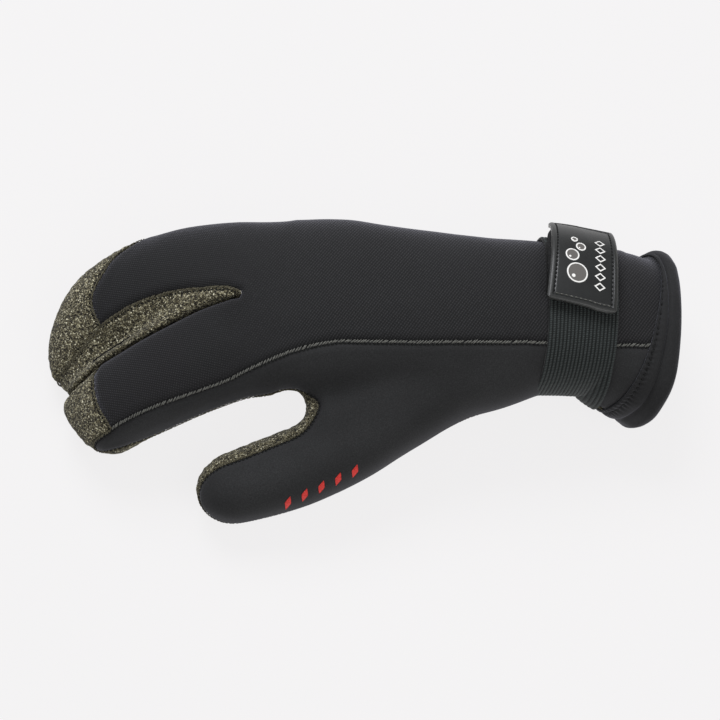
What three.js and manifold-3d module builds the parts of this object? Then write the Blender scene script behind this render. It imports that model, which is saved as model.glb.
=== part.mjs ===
// A three-compartment diving glove: a thumb stall, an index and middle finger pocket,
// and a ring and little finger pocket, in thick padded foam cloth.
// Millimetres. +X runs to the cuff, -Y to the thumb side, +Z out of the back of the hand.
// It lies palm down on both pocket tips, the thumb tip and the cuff.
import * as THREE from 'three';
import { mergeVertices } from 'three/addons/utils/BufferGeometryUtils.js';
import Module from 'manifold-3d';

const wasm = await Module();
wasm.setup();

// Driving sizes
const gloveLength = 340;
const palmWidth = 100;
const palmThickness = 60;
const archHeight = 55;
const pocketWidth = 56;
const pocketThickness = 46;
const thumbWidth = 42;
const thumbThickness = 40;
const wallThickness = 7;
const tipRound = 20;
const crotchRadius = 9.5;
const crotchLean = 25;
const fingerSlit = 1.6;
const seamGap = 0.3;
const restFlat = 0.9;

const bindingWidth = 12.5;
const bindingThickness = 1.5;
const strapWidth = 38;
const strapThickness = 2;
const strapFromRim = 26.5;
const strapLean = 0.7;
const strapTurn = 0.04;
const tabThickness = 3;
const tabOverhang = 3;
const tabInset = 4;
const labelThickness = 2.6;
const labelLength = 54;
const labelStart = 10;
const labelSlant = 0.14;

// How finely the padded tubes are cut into facets
const ringStep = 17;
const tipRings = 4;
const handSides = 24;
const stallSides = 16;
const sectionPower = 2.3;
const tipPower = 2.2;

// Sections across each tube, from the cuff end to the tip.
// along: share of gloveLength, across: share of palmWidth, rise: share of archHeight,
// half: share of the tube's width, top and bottom: shares of its thickness.
const handRows = [
  { along: 0.457, across: 0.14, rise: 0.58, half: 0.48, top: 0.58, bottom: 0.53 },
  { along: 0.427, across: 0.15, rise: 0.665, half: 0.462, top: 0.575, bottom: 0.55 },
  { along: 0.382, across: 0.193, rise: 0.79, half: 0.413, top: 0.56, bottom: 0.54 },
  { along: 0.335, across: 0.208, rise: 0.88, half: 0.401, top: 0.55, bottom: 0.525 },
  { along: 0.285, across: 0.205, rise: 0.935, half: 0.41, top: 0.555, bottom: 0.515 },
  { along: 0.19, across: 0.205, rise: 0.98, half: 0.425, top: 0.54, bottom: 0.5 },
  { along: 0.065, across: 0.235, rise: 1.0, half: 0.45, top: 0.515, bottom: 0.465 },
  { along: -0.047, across: 0.27, rise: 1.0, half: 0.48, top: 0.485, bottom: 0.45 },
];
const rearPocketRows = [
  { along: -0.132, across: 0.34, rise: 0.97, half: 0.755, top: 0.585, bottom: 0.54 },
  { along: -0.206, across: 0.425, rise: 0.91, half: 0.59, top: 0.54, bottom: 0.52 },
  { along: -0.28, across: 0.455, rise: 0.82, half: 0.51, top: 0.5, bottom: 0.5 },
  { along: -0.35, across: 0.42, rise: 0.69, half: 0.475, top: 0.48, bottom: 0.48 },
  { along: -0.404, across: 0.335, rise: 0.53, half: 0.455, top: 0.455, bottom: 0.44 },
  { along: -0.435, across: 0.2, rise: 0.365, half: 0.415, top: 0.4, bottom: 0.38 },
  { along: -0.449, across: 0.06, rise: 0.22, half: 0.345, top: 0.32, bottom: 0.3 },
  { along: -0.454, across: -0.04, rise: 0.15, half: 0.3, top: 0.28, bottom: 0.25 },
];
const frontPocketRows = [
  { along: -0.015, across: 0.02, rise: 0.965, half: 0.285, top: 0.305, bottom: 0.26 },
  { along: -0.112, across: 0.03, rise: 0.955, half: 0.465, top: 0.5, bottom: 0.48 },
  { along: -0.197, across: 0.04, rise: 0.91, half: 0.525, top: 0.51, bottom: 0.48 },
  { along: -0.265, across: -0.035, rise: 0.83, half: 0.51, top: 0.49, bottom: 0.47 },
  { along: -0.33, across: -0.13, rise: 0.71, half: 0.48, top: 0.465, bottom: 0.445 },
  { along: -0.382, across: -0.195, rise: 0.54, half: 0.455, top: 0.435, bottom: 0.425 },
  { along: -0.418, across: -0.23, rise: 0.345, half: 0.41, top: 0.37, bottom: 0.37 },
  { along: -0.432, across: -0.25, rise: 0.165, half: 0.36, top: 0.3, bottom: 0.3 },
];
const thumbRows = [
  { along: 0.28, across: 0.05, rise: 0.91, half: 0.4, top: 0.4, bottom: 0.4 },
  { along: 0.22, across: -0.015, rise: 0.875, half: 0.5, top: 0.5, bottom: 0.5 },
  { along: 0.141, across: -0.12, rise: 0.8, half: 0.485, top: 0.54, bottom: 0.54 },
  { along: 0.062, across: -0.275, rise: 0.69, half: 0.485, top: 0.52, bottom: 0.52 },
  { along: -0.032, across: -0.465, rise: 0.565, half: 0.49, top: 0.5, bottom: 0.5 },
  { along: -0.103, across: -0.57, rise: 0.475, half: 0.485, top: 0.475, bottom: 0.475 },
  { along: -0.159, across: -0.625, rise: 0.39, half: 0.475, top: 0.45, bottom: 0.45 },
  { along: -0.212, across: -0.665, rise: 0.325, half: 0.44, top: 0.425, bottom: 0.425 },
  { along: -0.256, across: -0.685, rise: 0.29, half: 0.39, top: 0.4, bottom: 0.4 },
];
const webRows = [
  { along: 0.1, across: -0.12, rise: 0.8, half: 0.33, top: 0.4, bottom: 0.4 },
  { along: 0.015, across: -0.23, rise: 0.75, half: 0.36, top: 0.44, bottom: 0.4 },
  { along: -0.035, across: -0.275, rise: 0.7, half: 0.39, top: 0.44, bottom: 0.36 },
  { along: -0.1, across: -0.31, rise: 0.655, half: 0.36, top: 0.38, bottom: 0.3 },
];

// Seams seen from above. along: share of gloveLength, across: share of palmWidth.
const radialSeam = [
  { along: 0.6, across: 0 },
  { along: 0.459, across: -0.035 },
  { along: 0.284, across: -0.075 },
  { along: 0.061, across: -0.078 },
  { along: -0.031, across: -0.07 },
  { along: -0.092, across: -0.098 },
  { along: -0.169, across: -0.178 },
  { along: -0.216, across: -0.235 },
  { along: -0.311, across: -0.328 },
  { along: -0.39, across: -0.405 },
];
const frontTipSeam = [
  { along: -0.408, across: -0.036 },
  { along: -0.42, across: -0.115 },
  { along: -0.418, across: -0.208 },
  { along: -0.409, across: -0.31 },
  { along: -0.39, across: -0.405 },
  { along: -0.402, across: -0.422 },
  { along: -0.42, across: -0.436 },
  { along: -0.44, across: -0.45 },
];
const gussetUpperSeam = [
  { along: -0.182, across: 0.225 },
  { along: -0.2, across: 0.257 },
  { along: -0.222, across: 0.273 },
  { along: -0.256, across: 0.285 },
  { along: -0.302, across: 0.289 },
  { along: -0.366, across: 0.25 },
  { along: -0.413, across: 0.184 },
];
const gussetTipSeam = [
  { along: -0.413, across: 0.184 },
  { along: -0.44, across: 0.108 },
  { along: -0.466, across: 0.034 },
  { along: -0.53, across: -0.08 },
];
const slitRoute = [
  { along: -0.192, across: 0.217 },
  { along: -0.25, across: 0.182 },
  { along: -0.304, across: 0.11 },
  { along: -0.36, across: 0.033 },
  { along: -0.405, across: -0.032 },
  { along: -0.437, across: -0.092 },
  { along: -0.527, across: -0.222 },
];
const rearTipSeam = [
  { along: -0.28, across: 0.9 },
  { along: -0.343, across: 0.7 },
  { along: -0.391, across: 0.575 },
  { along: -0.412, across: 0.459 },
  { along: -0.427, across: 0.36 },
  { along: -0.4295, across: 0.31 },
  { along: -0.424, across: 0.245 },
  { along: -0.413, across: 0.184 },
];

// The seam between the palm and the upper panels, as a height over the table.
const partingDrop = 0.02;
const radialSlope = 0.2;
const thumbPartingLift = 0.147;
const thumbPartingSlope = 1.1;
const thumbBlend = 8;
const partingStepAlong = 15;
const partingStepAcross = 10;

// Limits well clear of the glove, as shares of gloveLength and palmWidth
const farLeft = -0.7;
const farRight = 0.6;
const farUlnar = 0.9;
const farRadial = -1.2;
const farOut = gloveLength;

// Sections in millimetres
function sizedRows(rows, width, thickness) {
  return rows.map((row) => [
    row.along * gloveLength,
    row.across * palmWidth,
    row.rise * archHeight,
    row.half * width,
    row.top * thickness,
    row.bottom * thickness,
  ]);
}

const rearTube = [
  ...sizedRows(handRows, palmWidth, palmThickness),
  ...sizedRows(rearPocketRows, pocketWidth, pocketThickness),
];
const frontTube = sizedRows(frontPocketRows, pocketWidth, pocketThickness);
const thumbTube = sizedRows(thumbRows, thumbWidth, thumbThickness);
const webTube = sizedRows(webRows, thumbWidth, thumbThickness);

function chordLengths(rows) {
  const lengths = [0];
  for (let i = 1; i < rows.length; i += 1) {
    const step = Math.hypot(...[0, 1, 2].map((k) => rows[i][k] - rows[i - 1][k]));
    lengths.push(lengths[i - 1] + step);
  }
  return lengths;
}

// Smooth curve through every column of a table, straight on past both ends.
function sectionAt(rows, lengths, s) {
  const last = rows.length - 1;
  const slope = (i, k) => (rows[i + 1][k] - rows[i][k]) / (lengths[i + 1] - lengths[i]);
  const tangent = (i, k) => {
    if (i === 0) return slope(0, k);
    if (i === last) return slope(last - 1, k);
    const before = lengths[i] - lengths[i - 1];
    const after = lengths[i + 1] - lengths[i];
    return (slope(i - 1, k) * after + slope(i, k) * before) / (before + after);
  };
  if (s <= 0) return rows[0].map((value, k) => value + s * (k < 3 ? slope(0, k) : 0));
  const end = Math.min(s, lengths[last]);
  let i = 0;
  while (i < last - 1 && end > lengths[i + 1]) i += 1;
  const span = lengths[i + 1] - lengths[i];
  const u = (end - lengths[i]) / span;
  const fromHere = 2 * u ** 3 - 3 * u ** 2 + 1;
  const fromNext = 3 * u ** 2 - 2 * u ** 3;
  const tangentHere = (u ** 3 - 2 * u ** 2 + u) * span;
  const tangentNext = (u ** 3 - u ** 2) * span;
  return rows[i].map(
    (value, k) =>
      fromHere * value +
      fromNext * rows[i + 1][k] +
      tangentHere * tangent(i, k) +
      tangentNext * tangent(i + 1, k),
  );
}

function solidOf(geometry) {
  const bare = geometry.clone();
  bare.deleteAttribute('normal');
  bare.deleteAttribute('uv');
  const merged = mergeVertices(bare, 1e-4);
  return new wasm.Manifold(
    new wasm.Mesh({
      numProp: 3,
      vertProperties: new Float32Array(merged.attributes.position.array),
      triVerts: new Uint32Array(merged.index.array),
    }),
  );
}

function closedLoft(rings, startCentre, endCentre) {
  const sides = rings[0].length;
  const points = [...rings.flat(), startCentre, endCentre];
  const index = [];
  for (let r = 0; r < rings.length - 1; r += 1) {
    for (let j = 0; j < sides; j += 1) {
      const next = (j + 1) % sides;
      const a = r * sides + j;
      const b = r * sides + next;
      index.push(a, a + sides, b, b, a + sides, b + sides);
    }
  }
  const startIndex = points.length - 2;
  const endIndex = points.length - 1;
  const lastRing = (rings.length - 1) * sides;
  for (let j = 0; j < sides; j += 1) {
    const next = (j + 1) % sides;
    index.push(startIndex, j, next);
    index.push(endIndex, lastRing + next, lastRing + j);
  }
  const geometry = new THREE.BufferGeometry().setFromPoints(points);
  geometry.setIndex(index);
  return geometry;
}

const upward = new THREE.Vector3(0, 0, 1);

// One ring of points round a tube: a rounded box section square to the tube's run
function exactRing(tube, s) {
  const { rows, lengths, sides, grow } = tube;
  const total = lengths[lengths.length - 1];
  const [x, y, z, half, top, bottom] = sectionAt(rows, lengths, s);
  const ahead = sectionAt(rows, lengths, Math.min(s + 0.05, total));
  const behind = sectionAt(rows, lengths, Math.min(s, total - 0.05) - 0.05);
  const tangent = new THREE.Vector3(
    ahead[0] - behind[0],
    ahead[1] - behind[1],
    ahead[2] - behind[2],
  ).normalize();
  const side = new THREE.Vector3().crossVectors(tangent, upward).normalize();
  const rise = new THREE.Vector3().crossVectors(side, tangent);
  const softened = (value) => Math.sign(value) * Math.abs(value) ** (2 / sectionPower);
  const ring = [];
  for (let j = 0; j < sides; j += 1) {
    const angle = (2 * Math.PI * j) / sides;
    const across = softened(Math.cos(angle)) * (half + grow);
    const over = Math.sin(angle) >= 0 ? top + grow : bottom + grow;
    const height = softened(Math.sin(angle)) * over;
    ring.push(
      new THREE.Vector3(x, y, z).addScaledVector(side, across).addScaledVector(rise, height),
    );
  }
  return ring;
}

function middleOf(ring) {
  const sum = ring.reduce((total, point) => total.add(point), new THREE.Vector3());
  return sum.divideScalar(ring.length);
}

// Between two stations the ring lies on their facets, so that bands fit the body
function facetRing(tube, s) {
  if (s <= 0) return exactRing(tube, s);
  const low = Math.floor(s / ringStep) * ringStep;
  const share = (s - low) / ringStep;
  const before = exactRing(tube, low);
  const after = exactRing(tube, low + ringStep);
  return before.map((point, i) => point.lerp(after[i], share));
}

// One padded tube, grown (or shrunk, when negative) by grow all round, from arc length
// `from` to `to`, with a rounded tip where no `to` is given.
function tubeSolid(rows, sides, { grow = 0, from = 0, to = null } = {}) {
  const lengths = chordLengths(rows);
  const tube = { rows, lengths, sides, grow };
  const tipEnd = lengths[lengths.length - 1] + Math.min(grow, 0);
  const bodyEnd = to === null ? tipEnd - tipRound : to;
  const clearStep = ringStep / 4;
  const firstStation = Math.ceil((from + clearStep) / ringStep) * ringStep;
  const stations = [from];
  for (let s = firstStation; s < bodyEnd - clearStep; s += ringStep) stations.push(s);
  stations.push(bodyEnd);
  const rings = stations.map((s) => facetRing(tube, s));
  for (let i = 1; to === null && i <= tipRings; i += 1) {
    const reach = Math.sin((Math.PI / 2) * (i / (tipRings + 0.4)));
    const shrink = (1 - reach ** tipPower) ** (1 / tipPower);
    const ring = exactRing(tube, bodyEnd + tipRound * reach);
    const centre = middleOf(ring);
    rings.push(ring.map((point) => point.lerp(centre, 1 - shrink)));
  }
  return solidOf(closedLoft(rings, middleOf(rings[0]), middleOf(rings[rings.length - 1])));
}

// Curves and prisms seen from above
function planCurve(route, steps = 24) {
  const points = route.map(
    (point) => new THREE.Vector2(point.along * gloveLength, point.across * palmWidth),
  );
  return new THREE.SplineCurve(points).getPoints(steps);
}

function planPrism(points, bottom = -farOut, top = farOut) {
  const outline = THREE.ShapeUtils.isClockWise(points) ? [...points].reverse() : points;
  const geometry = new THREE.ExtrudeGeometry(new THREE.Shape(outline), {
    depth: top - bottom,
    bevelEnabled: false,
  });
  geometry.translate(0, 0, bottom);
  return solidOf(geometry);
}

function shiftedCurve(points, offset) {
  return points.map((point, i) => {
    const before = points[Math.max(i - 1, 0)];
    const after = points[Math.min(i + 1, points.length - 1)];
    const direction = after.clone().sub(before).normalize();
    return new THREE.Vector2(point.x - direction.y * offset, point.y + direction.x * offset);
  });
}

function curtain(points, thickness) {
  const left = shiftedCurve(points, thickness / 2);
  const right = shiftedCurve(points, -thickness / 2);
  return planPrism([...left, ...right.reverse()]);
}

function joined(solids) {
  return solids.reduce((sum, solid) => sum.add(solid));
}

// Height of the palm seam over the table at one place seen from above
function sectionAtX(rows, x) {
  const lengths = chordLengths(rows);
  let low = 0;
  let high = lengths[lengths.length - 1];
  for (let i = 0; i < 30; i += 1) {
    const middle = (low + high) / 2;
    if (sectionAt(rows, lengths, middle)[0] > x) low = middle;
    else high = middle;
  }
  return sectionAt(rows, lengths, (low + high) / 2);
}

function partingHeights(x) {
  const hand = sectionAtX(rearTube, x);
  const thumb = sectionAtX(thumbTube, x);
  return (y) => {
    const handHeight =
      hand[2] - partingDrop * archHeight - radialSlope * Math.max(0, -y);
    const thumbHeight =
      thumb[2] + thumbPartingLift * archHeight + thumbPartingSlope * (y - thumb[1]);
    const innerEdge = thumb[1] + thumb[3];
    const share = THREE.MathUtils.smoothstep(innerEdge + thumbBlend - y, 0, 2 * thumbBlend);
    return THREE.MathUtils.lerp(handHeight, thumbHeight, share);
  };
}

// Everything above the palm seam, raised or lowered by lift
function aboveParting(lift) {
  const [left, right] = [farLeft * gloveLength, farRight * gloveLength];
  const [radial, ulnar] = [farRadial * palmWidth, farUlnar * palmWidth];
  const columns = Math.ceil((right - left) / partingStepAlong);
  const lines = Math.ceil((ulnar - radial) / partingStepAcross);
  const geometry = new THREE.BoxGeometry(right - left, ulnar - radial, farOut, columns, lines, 1);
  geometry.translate((left + right) / 2, (radial + ulnar) / 2, farOut / 2);
  const position = geometry.attributes.position;
  for (let i = 0; i < position.count; i += 1) {
    if (position.getZ(i) < farOut / 2) {
      const heightAt = partingHeights(position.getX(i));
      position.setZ(i, heightAt(position.getY(i)) + lift);
    }
  }
  return solidOf(geometry);
}

// The foam body: outer form, hollow and finger slit
const slitCurve = planCurve(slitRoute);
const webEnd = chordLengths(webTube).at(-1);
const crotchCentre = new THREE.Vector3(
  -0.112 * gloveLength,
  -0.275 * palmWidth,
  0.69 * archHeight,
);

function crotchCut(radius) {
  const cylinder = new THREE.CylinderGeometry(radius, radius, 2 * farOut, 28);
  cylinder.rotateX(Math.PI / 2 + THREE.MathUtils.degToRad(crotchLean));
  cylinder.translate(...crotchCentre.toArray());
  return solidOf(cylinder);
}

function handForm() {
  const body = joined([
    tubeSolid(rearTube, handSides),
    tubeSolid(frontTube, stallSides),
    tubeSolid(thumbTube, stallSides),
    tubeSolid(webTube, stallSides, { to: webEnd }),
  ]);
  return body.subtract(crotchCut(crotchRadius)).subtract(curtain(slitCurve, fingerSlit));
}

function hollowForm() {
  const shrink = { grow: -wallThickness };
  const hollow = joined([
    tubeSolid(rearTube, handSides, { ...shrink, from: -wallThickness }),
    tubeSolid(frontTube, stallSides, shrink),
    tubeSolid(thumbTube, stallSides, shrink),
    tubeSolid(webTube, stallSides, { ...shrink, to: webEnd }),
  ]);
  const [first, second] = slitCurve;
  const behind = first.clone().sub(second).setLength(wallThickness + fingerSlit / 2).add(first);
  const slitWall = curtain([behind, ...slitCurve], fingerSlit + 2 * wallThickness);
  return hollow.subtract(crotchCut(crotchRadius + wallThickness)).subtract(slitWall);
}

const outerForm = handForm();
const floorHeight = tubeSolid(rearTube, handSides, {
  grow: seamGap + bindingThickness,
  from: -seamGap - bindingThickness,
  to: bindingWidth,
}).boundingBox().min[2] + restFlat;

function aboveFloor(solid) {
  const ground = new THREE.BoxGeometry(2 * farOut, 2 * farOut, farOut);
  ground.translate(0, 0, floorHeight - farOut / 2);
  return solid.subtract(solidOf(ground));
}

const shell = aboveFloor(outerForm.subtract(hollowForm()));

// Panels: each keeps the seam gap to its neighbours
const radialCurve = planCurve(radialSeam, 40);
const frontTipCurve = planCurve(frontTipSeam, 12);
const gussetUpperCurve = planCurve(gussetUpperSeam, 20);
const gussetTipCurve = planCurve(gussetTipSeam, 8);
const rearTipCurve = planCurve(rearTipSeam, 16);

const seamCurtains = joined(
  [radialCurve, frontTipCurve, gussetUpperCurve, gussetTipCurve, rearTipCurve]
    .map((curve) => curtain(curve, seamGap)),
);

const upperShell = shell.intersect(aboveParting(seamGap / 2)).subtract(seamCurtains);

// Plan areas: the tips belong to the palm's grip cloth, the rest to the upper panels
function corner(along, across) {
  return new THREE.Vector2(along * gloveLength, across * palmWidth);
}

const radialEnd = radialSeam.at(-1).across;
const thumbSideOfTip = frontTipSeam.at(-1).along;

const gussetArea = planPrism([
  ...gussetUpperCurve,
  ...gussetTipCurve.slice(1),
  ...[...slitCurve].reverse(),
]);
const rearTipArea = planPrism([
  ...rearTipCurve,
  ...gussetTipCurve.slice(1),
  corner(farLeft, gussetTipSeam.at(-1).across),
  corner(farLeft, farUlnar),
]);
const frontTipArea = planPrism([
  ...frontTipCurve,
  corner(thumbSideOfTip, farRadial),
  corner(farLeft, farRadial),
  corner(farLeft, gussetTipSeam.at(-1).across),
]);
const tipsArea = rearTipArea.add(frontTipArea).subtract(gussetArea);
const ulnarArea = planPrism([
  ...radialCurve,
  corner(farLeft, radialEnd),
  corner(farLeft, farUlnar),
  corner(farRight, farUlnar),
]);
const radialArea = planPrism([
  ...radialCurve,
  corner(farLeft, radialEnd),
  corner(farLeft, farRadial),
  corner(farRight, farRadial),
]);

// A cut near a seam's end can leave a crumb: the panel is the largest body
function mainBody(solid) {
  return solid.decompose().reduce((best, part) => (part.volume() > best.volume() ? part : best));
}

const backPanel = mainBody(upperShell.intersect(ulnarArea).subtract(tipsArea.add(gussetArea)));
const sidePanel = mainBody(upperShell.intersect(radialArea).subtract(tipsArea));
const fingerGusset = mainBody(upperShell.intersect(gussetArea));

const upperCut = ulnarArea.add(radialArea).subtract(tipsArea).add(seamCurtains);
const palmPanel = mainBody(shell.subtract(aboveParting(-seamGap / 2).intersect(upperCut)));

// Bands round the wrist follow the hand tube, set off from it by a clearance
function handBand(inner, outer, from, to, over = 1) {
  const sleeve = tubeSolid(rearTube, handSides, { grow: outer, from, to });
  const bore = tubeSolid(rearTube, handSides, { grow: inner, from: from - over, to: to + over });
  return sleeve.subtract(bore);
}

const bindingReach = seamGap + bindingThickness;
const bindingEnvelope = handBand(
  -wallThickness - bindingReach, bindingReach, -bindingReach, bindingWidth,
);
const bindingPocket = handBand(
  -wallThickness - seamGap, seamGap, -seamGap, bindingWidth + seamGap,
);
const cuffBinding = mainBody(aboveFloor(bindingEnvelope.subtract(bindingPocket)));

// Straps keep an even width: parallel planes square to the wrist cut them off
const rearLengths = chordLengths(rearTube);
const strapMiddle = strapFromRim + strapWidth / 2;
const strapCentre = new THREE.Vector3(...sectionAt(rearTube, rearLengths, strapMiddle));
const strapRun = new THREE.Vector3(...sectionAt(rearTube, rearLengths, strapMiddle + 1))
  .sub(strapCentre);
strapRun.y += strapTurn;
strapRun.z *= strapLean;
strapRun.normalize();

function strapSlab(width, shift = 0) {
  const slab = new THREE.BoxGeometry(farOut, farOut, width);
  slab.applyQuaternion(new THREE.Quaternion().setFromUnitVectors(upward, strapRun));
  const centre = strapCentre.clone().addScaledVector(strapRun, shift);
  slab.translate(centre.x, centre.y, centre.z);
  return solidOf(slab);
}

function strapLayer(inner, thickness, slab) {
  const reach = strapWidth / 2;
  const band = handBand(
    inner, inner + thickness, strapFromRim - reach, strapFromRim + strapWidth + reach,
  );
  return band.intersect(slab);
}

const strapInner = seamGap;
const strapOuter = strapInner + strapThickness;
const wristStrap = strapLayer(strapInner, strapThickness, strapSlab(strapWidth));

// The strap's sewn end and the label on it lie on the back of the wrist, towards the
// little finger side: a slanted strip seen from above picks their share of the band.
function backOfWrist(start, length) {
  const slantAt = (x) => -labelSlant * (x - strapCentre.x);
  return planPrism(
    [
      new THREE.Vector2(-farOut, start + slantAt(-farOut)),
      new THREE.Vector2(farOut, start + slantAt(farOut)),
      new THREE.Vector2(farOut, start + length + slantAt(farOut)),
      new THREE.Vector2(-farOut, start + length + slantAt(-farOut)),
    ],
    strapCentre.z,
  );
}

const tabInner = strapOuter + seamGap;
const tabWidth = strapWidth + tabOverhang;
const strapTab = mainBody(
  strapLayer(tabInner, tabThickness, strapSlab(tabWidth, tabOverhang / 2))
    .intersect(backOfWrist(labelStart + tabInset, labelLength)),
);
const labelInner = tabInner + tabThickness + seamGap;
const labelPatch = mainBody(
  strapLayer(labelInner, labelThickness, strapSlab(strapWidth))
    .intersect(backOfWrist(labelStart, labelLength)),
);

const material = (color, roughness) =>
  new THREE.MeshStandardMaterial({ color, roughness, metalness: 0 });

function meshOf(name, solid, meshMaterial) {
  const { vertProperties, triVerts } = solid.getMesh();
  const geometry = new THREE.BufferGeometry();
  geometry.setAttribute('position', new THREE.BufferAttribute(vertProperties, 3));
  geometry.setIndex(new THREE.BufferAttribute(triVerts, 1));
  geometry.computeVertexNormals();
  const mesh = new THREE.Mesh(geometry, meshMaterial);
  mesh.name = name;
  return mesh;
}

const backCloth = material(0x2f3031, 0.85);
const sideCloth = material(0x2d2e30, 0.8);
const gripCloth = material(0x5a584c, 0.95);
const bindingCloth = material(0x2e2e2f, 0.85);
const strapElastic = material(0x2d3130, 0.85);
const hookTape = material(0x222223, 0.9);
const labelRubber = material(0x3d3e3e, 0.5);

const glove = new THREE.Group();
glove.add(
  meshOf('back_panel', backPanel, backCloth),
  meshOf('side_panel', sidePanel, sideCloth),
  meshOf('finger_gusset', fingerGusset, gripCloth),
  meshOf('palm_panel', palmPanel, gripCloth),
  meshOf('cuff_binding', cuffBinding, bindingCloth),
  meshOf('wrist_strap', wristStrap, strapElastic),
  meshOf('strap_tab', strapTab, hookTape),
  meshOf('label_patch', labelPatch, labelRubber),
);

// Stand the glove on the origin: the middle of its footprint, its lowest face at zero
const bounds = new THREE.Box3().setFromObject(glove);
const middle = bounds.getCenter(new THREE.Vector3());
glove.position.set(-middle.x, -middle.y, -bounds.min.z);

export default glove;
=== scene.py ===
"""Dressed model of the three-compartment diving glove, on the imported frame."""
import math

import bpy
import numpy as np
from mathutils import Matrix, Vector, noise
from mathutils.bvhtree import BVHTree
from mathutils.kdtree import KDTree


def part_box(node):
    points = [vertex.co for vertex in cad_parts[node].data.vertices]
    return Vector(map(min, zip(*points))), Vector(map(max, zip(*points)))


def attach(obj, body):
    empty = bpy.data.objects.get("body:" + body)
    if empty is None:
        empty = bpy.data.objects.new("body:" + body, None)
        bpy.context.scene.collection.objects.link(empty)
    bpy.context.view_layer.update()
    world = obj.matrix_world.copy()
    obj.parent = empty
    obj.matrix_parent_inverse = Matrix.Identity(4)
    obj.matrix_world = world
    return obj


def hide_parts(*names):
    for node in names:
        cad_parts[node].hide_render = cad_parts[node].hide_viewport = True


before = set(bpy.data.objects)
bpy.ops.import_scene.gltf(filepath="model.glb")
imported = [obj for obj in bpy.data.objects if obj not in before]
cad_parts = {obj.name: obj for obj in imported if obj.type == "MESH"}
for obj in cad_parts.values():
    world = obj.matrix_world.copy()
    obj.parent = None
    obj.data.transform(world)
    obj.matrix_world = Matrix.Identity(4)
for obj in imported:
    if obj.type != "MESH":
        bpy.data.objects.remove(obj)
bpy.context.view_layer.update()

MM = 0.001

# Sizes of the glove in millimetres, as the part's source has them
GLOVE_LENGTH, PALM_WIDTH, PALM_THICKNESS, ARCH_HEIGHT = 340, 100, 60, 55
POCKET_WIDTH, POCKET_THICKNESS = 56, 46
THUMB_WIDTH, THUMB_THICKNESS = 42, 40
WALL, TIP_ROUND, CROTCH_RADIUS, CROTCH_LEAN = 7, 20, 9.5, 25
SEAM_GAP = 0.3
STRAP_WIDTH, STRAP_THICKNESS, STRAP_FROM_RIM, STRAP_LEAN, STRAP_TURN = 38, 2, 26.5, 0.7, 0.04
TAB_THICKNESS, TAB_OVERHANG, TAB_INSET = 3, 3, 4
LABEL_THICKNESS, LABEL_LENGTH, LABEL_START, LABEL_SLANT = 2.6, 54, 10, 0.14
SECTION_POWER, TIP_POWER, FRONT_TIP_POWER = 2.3, 2.2, 3.2

HAND_ROWS = [
    (0.457, 0.162, 0.58, 0.48, 0.58, 0.53), (0.427, 0.172, 0.665, 0.442, 0.575, 0.55),
    (0.382, 0.213, 0.79, 0.398, 0.56, 0.54), (0.335, 0.208, 0.88, 0.401, 0.55, 0.525),
    (0.285, 0.205, 0.935, 0.41, 0.555, 0.515), (0.19, 0.205, 0.98, 0.425, 0.54, 0.5),
    (0.065, 0.235, 1.0, 0.45, 0.515, 0.465), (-0.047, 0.27, 1.0, 0.48, 0.485, 0.45)]
REAR_ROWS = [
    (-0.132, 0.34, 0.97, 0.755, 0.585, 0.54), (-0.206, 0.425, 0.91, 0.59, 0.54, 0.52),
    (-0.28, 0.455, 0.82, 0.51, 0.5, 0.5), (-0.35, 0.42, 0.69, 0.475, 0.48, 0.48),
    (-0.404, 0.335, 0.53, 0.455, 0.455, 0.44), (-0.435, 0.2, 0.365, 0.415, 0.4, 0.38),
    (-0.449, 0.05, 0.22, 0.355, 0.32, 0.3), (-0.454, -0.065, 0.15, 0.325, 0.28, 0.25)]
FRONT_ROWS = [
    (-0.015, 0.02, 0.965, 0.285, 0.305, 0.26), (-0.112, 0.03, 0.955, 0.465, 0.5, 0.48),
    (-0.197, 0.04, 0.91, 0.525, 0.51, 0.48), (-0.265, -0.035, 0.83, 0.51, 0.49, 0.47),
    (-0.33, -0.13, 0.71, 0.48, 0.465, 0.445), (-0.382, -0.195, 0.54, 0.455, 0.435, 0.425),
    (-0.418, -0.245, 0.345, 0.437, 0.37, 0.37), (-0.434, -0.283, 0.165, 0.41, 0.3, 0.3)]
THUMB_ROWS = [
    (0.28, 0.045, 0.91, 0.42, 0.4, 0.4), (0.22, -0.05, 0.875, 0.54, 0.5, 0.5),
    (0.141, -0.14, 0.8, 0.52, 0.54, 0.54), (0.062, -0.283, 0.69, 0.505, 0.52, 0.52),
    (-0.032, -0.47, 0.565, 0.505, 0.5, 0.5), (-0.103, -0.573, 0.475, 0.495, 0.475, 0.475),
    (-0.159, -0.625, 0.39, 0.475, 0.45, 0.45), (-0.212, -0.665, 0.325, 0.44, 0.425, 0.425),
    (-0.256, -0.685, 0.29, 0.39, 0.4, 0.4)]
WEB_ROWS = [
    (0.1, -0.12, 0.8, 0.33, 0.4, 0.4), (0.015, -0.23, 0.75, 0.36, 0.44, 0.4),
    (-0.035, -0.275, 0.7, 0.39, 0.44, 0.36), (-0.1, -0.31, 0.655, 0.36, 0.38, 0.3)]

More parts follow.
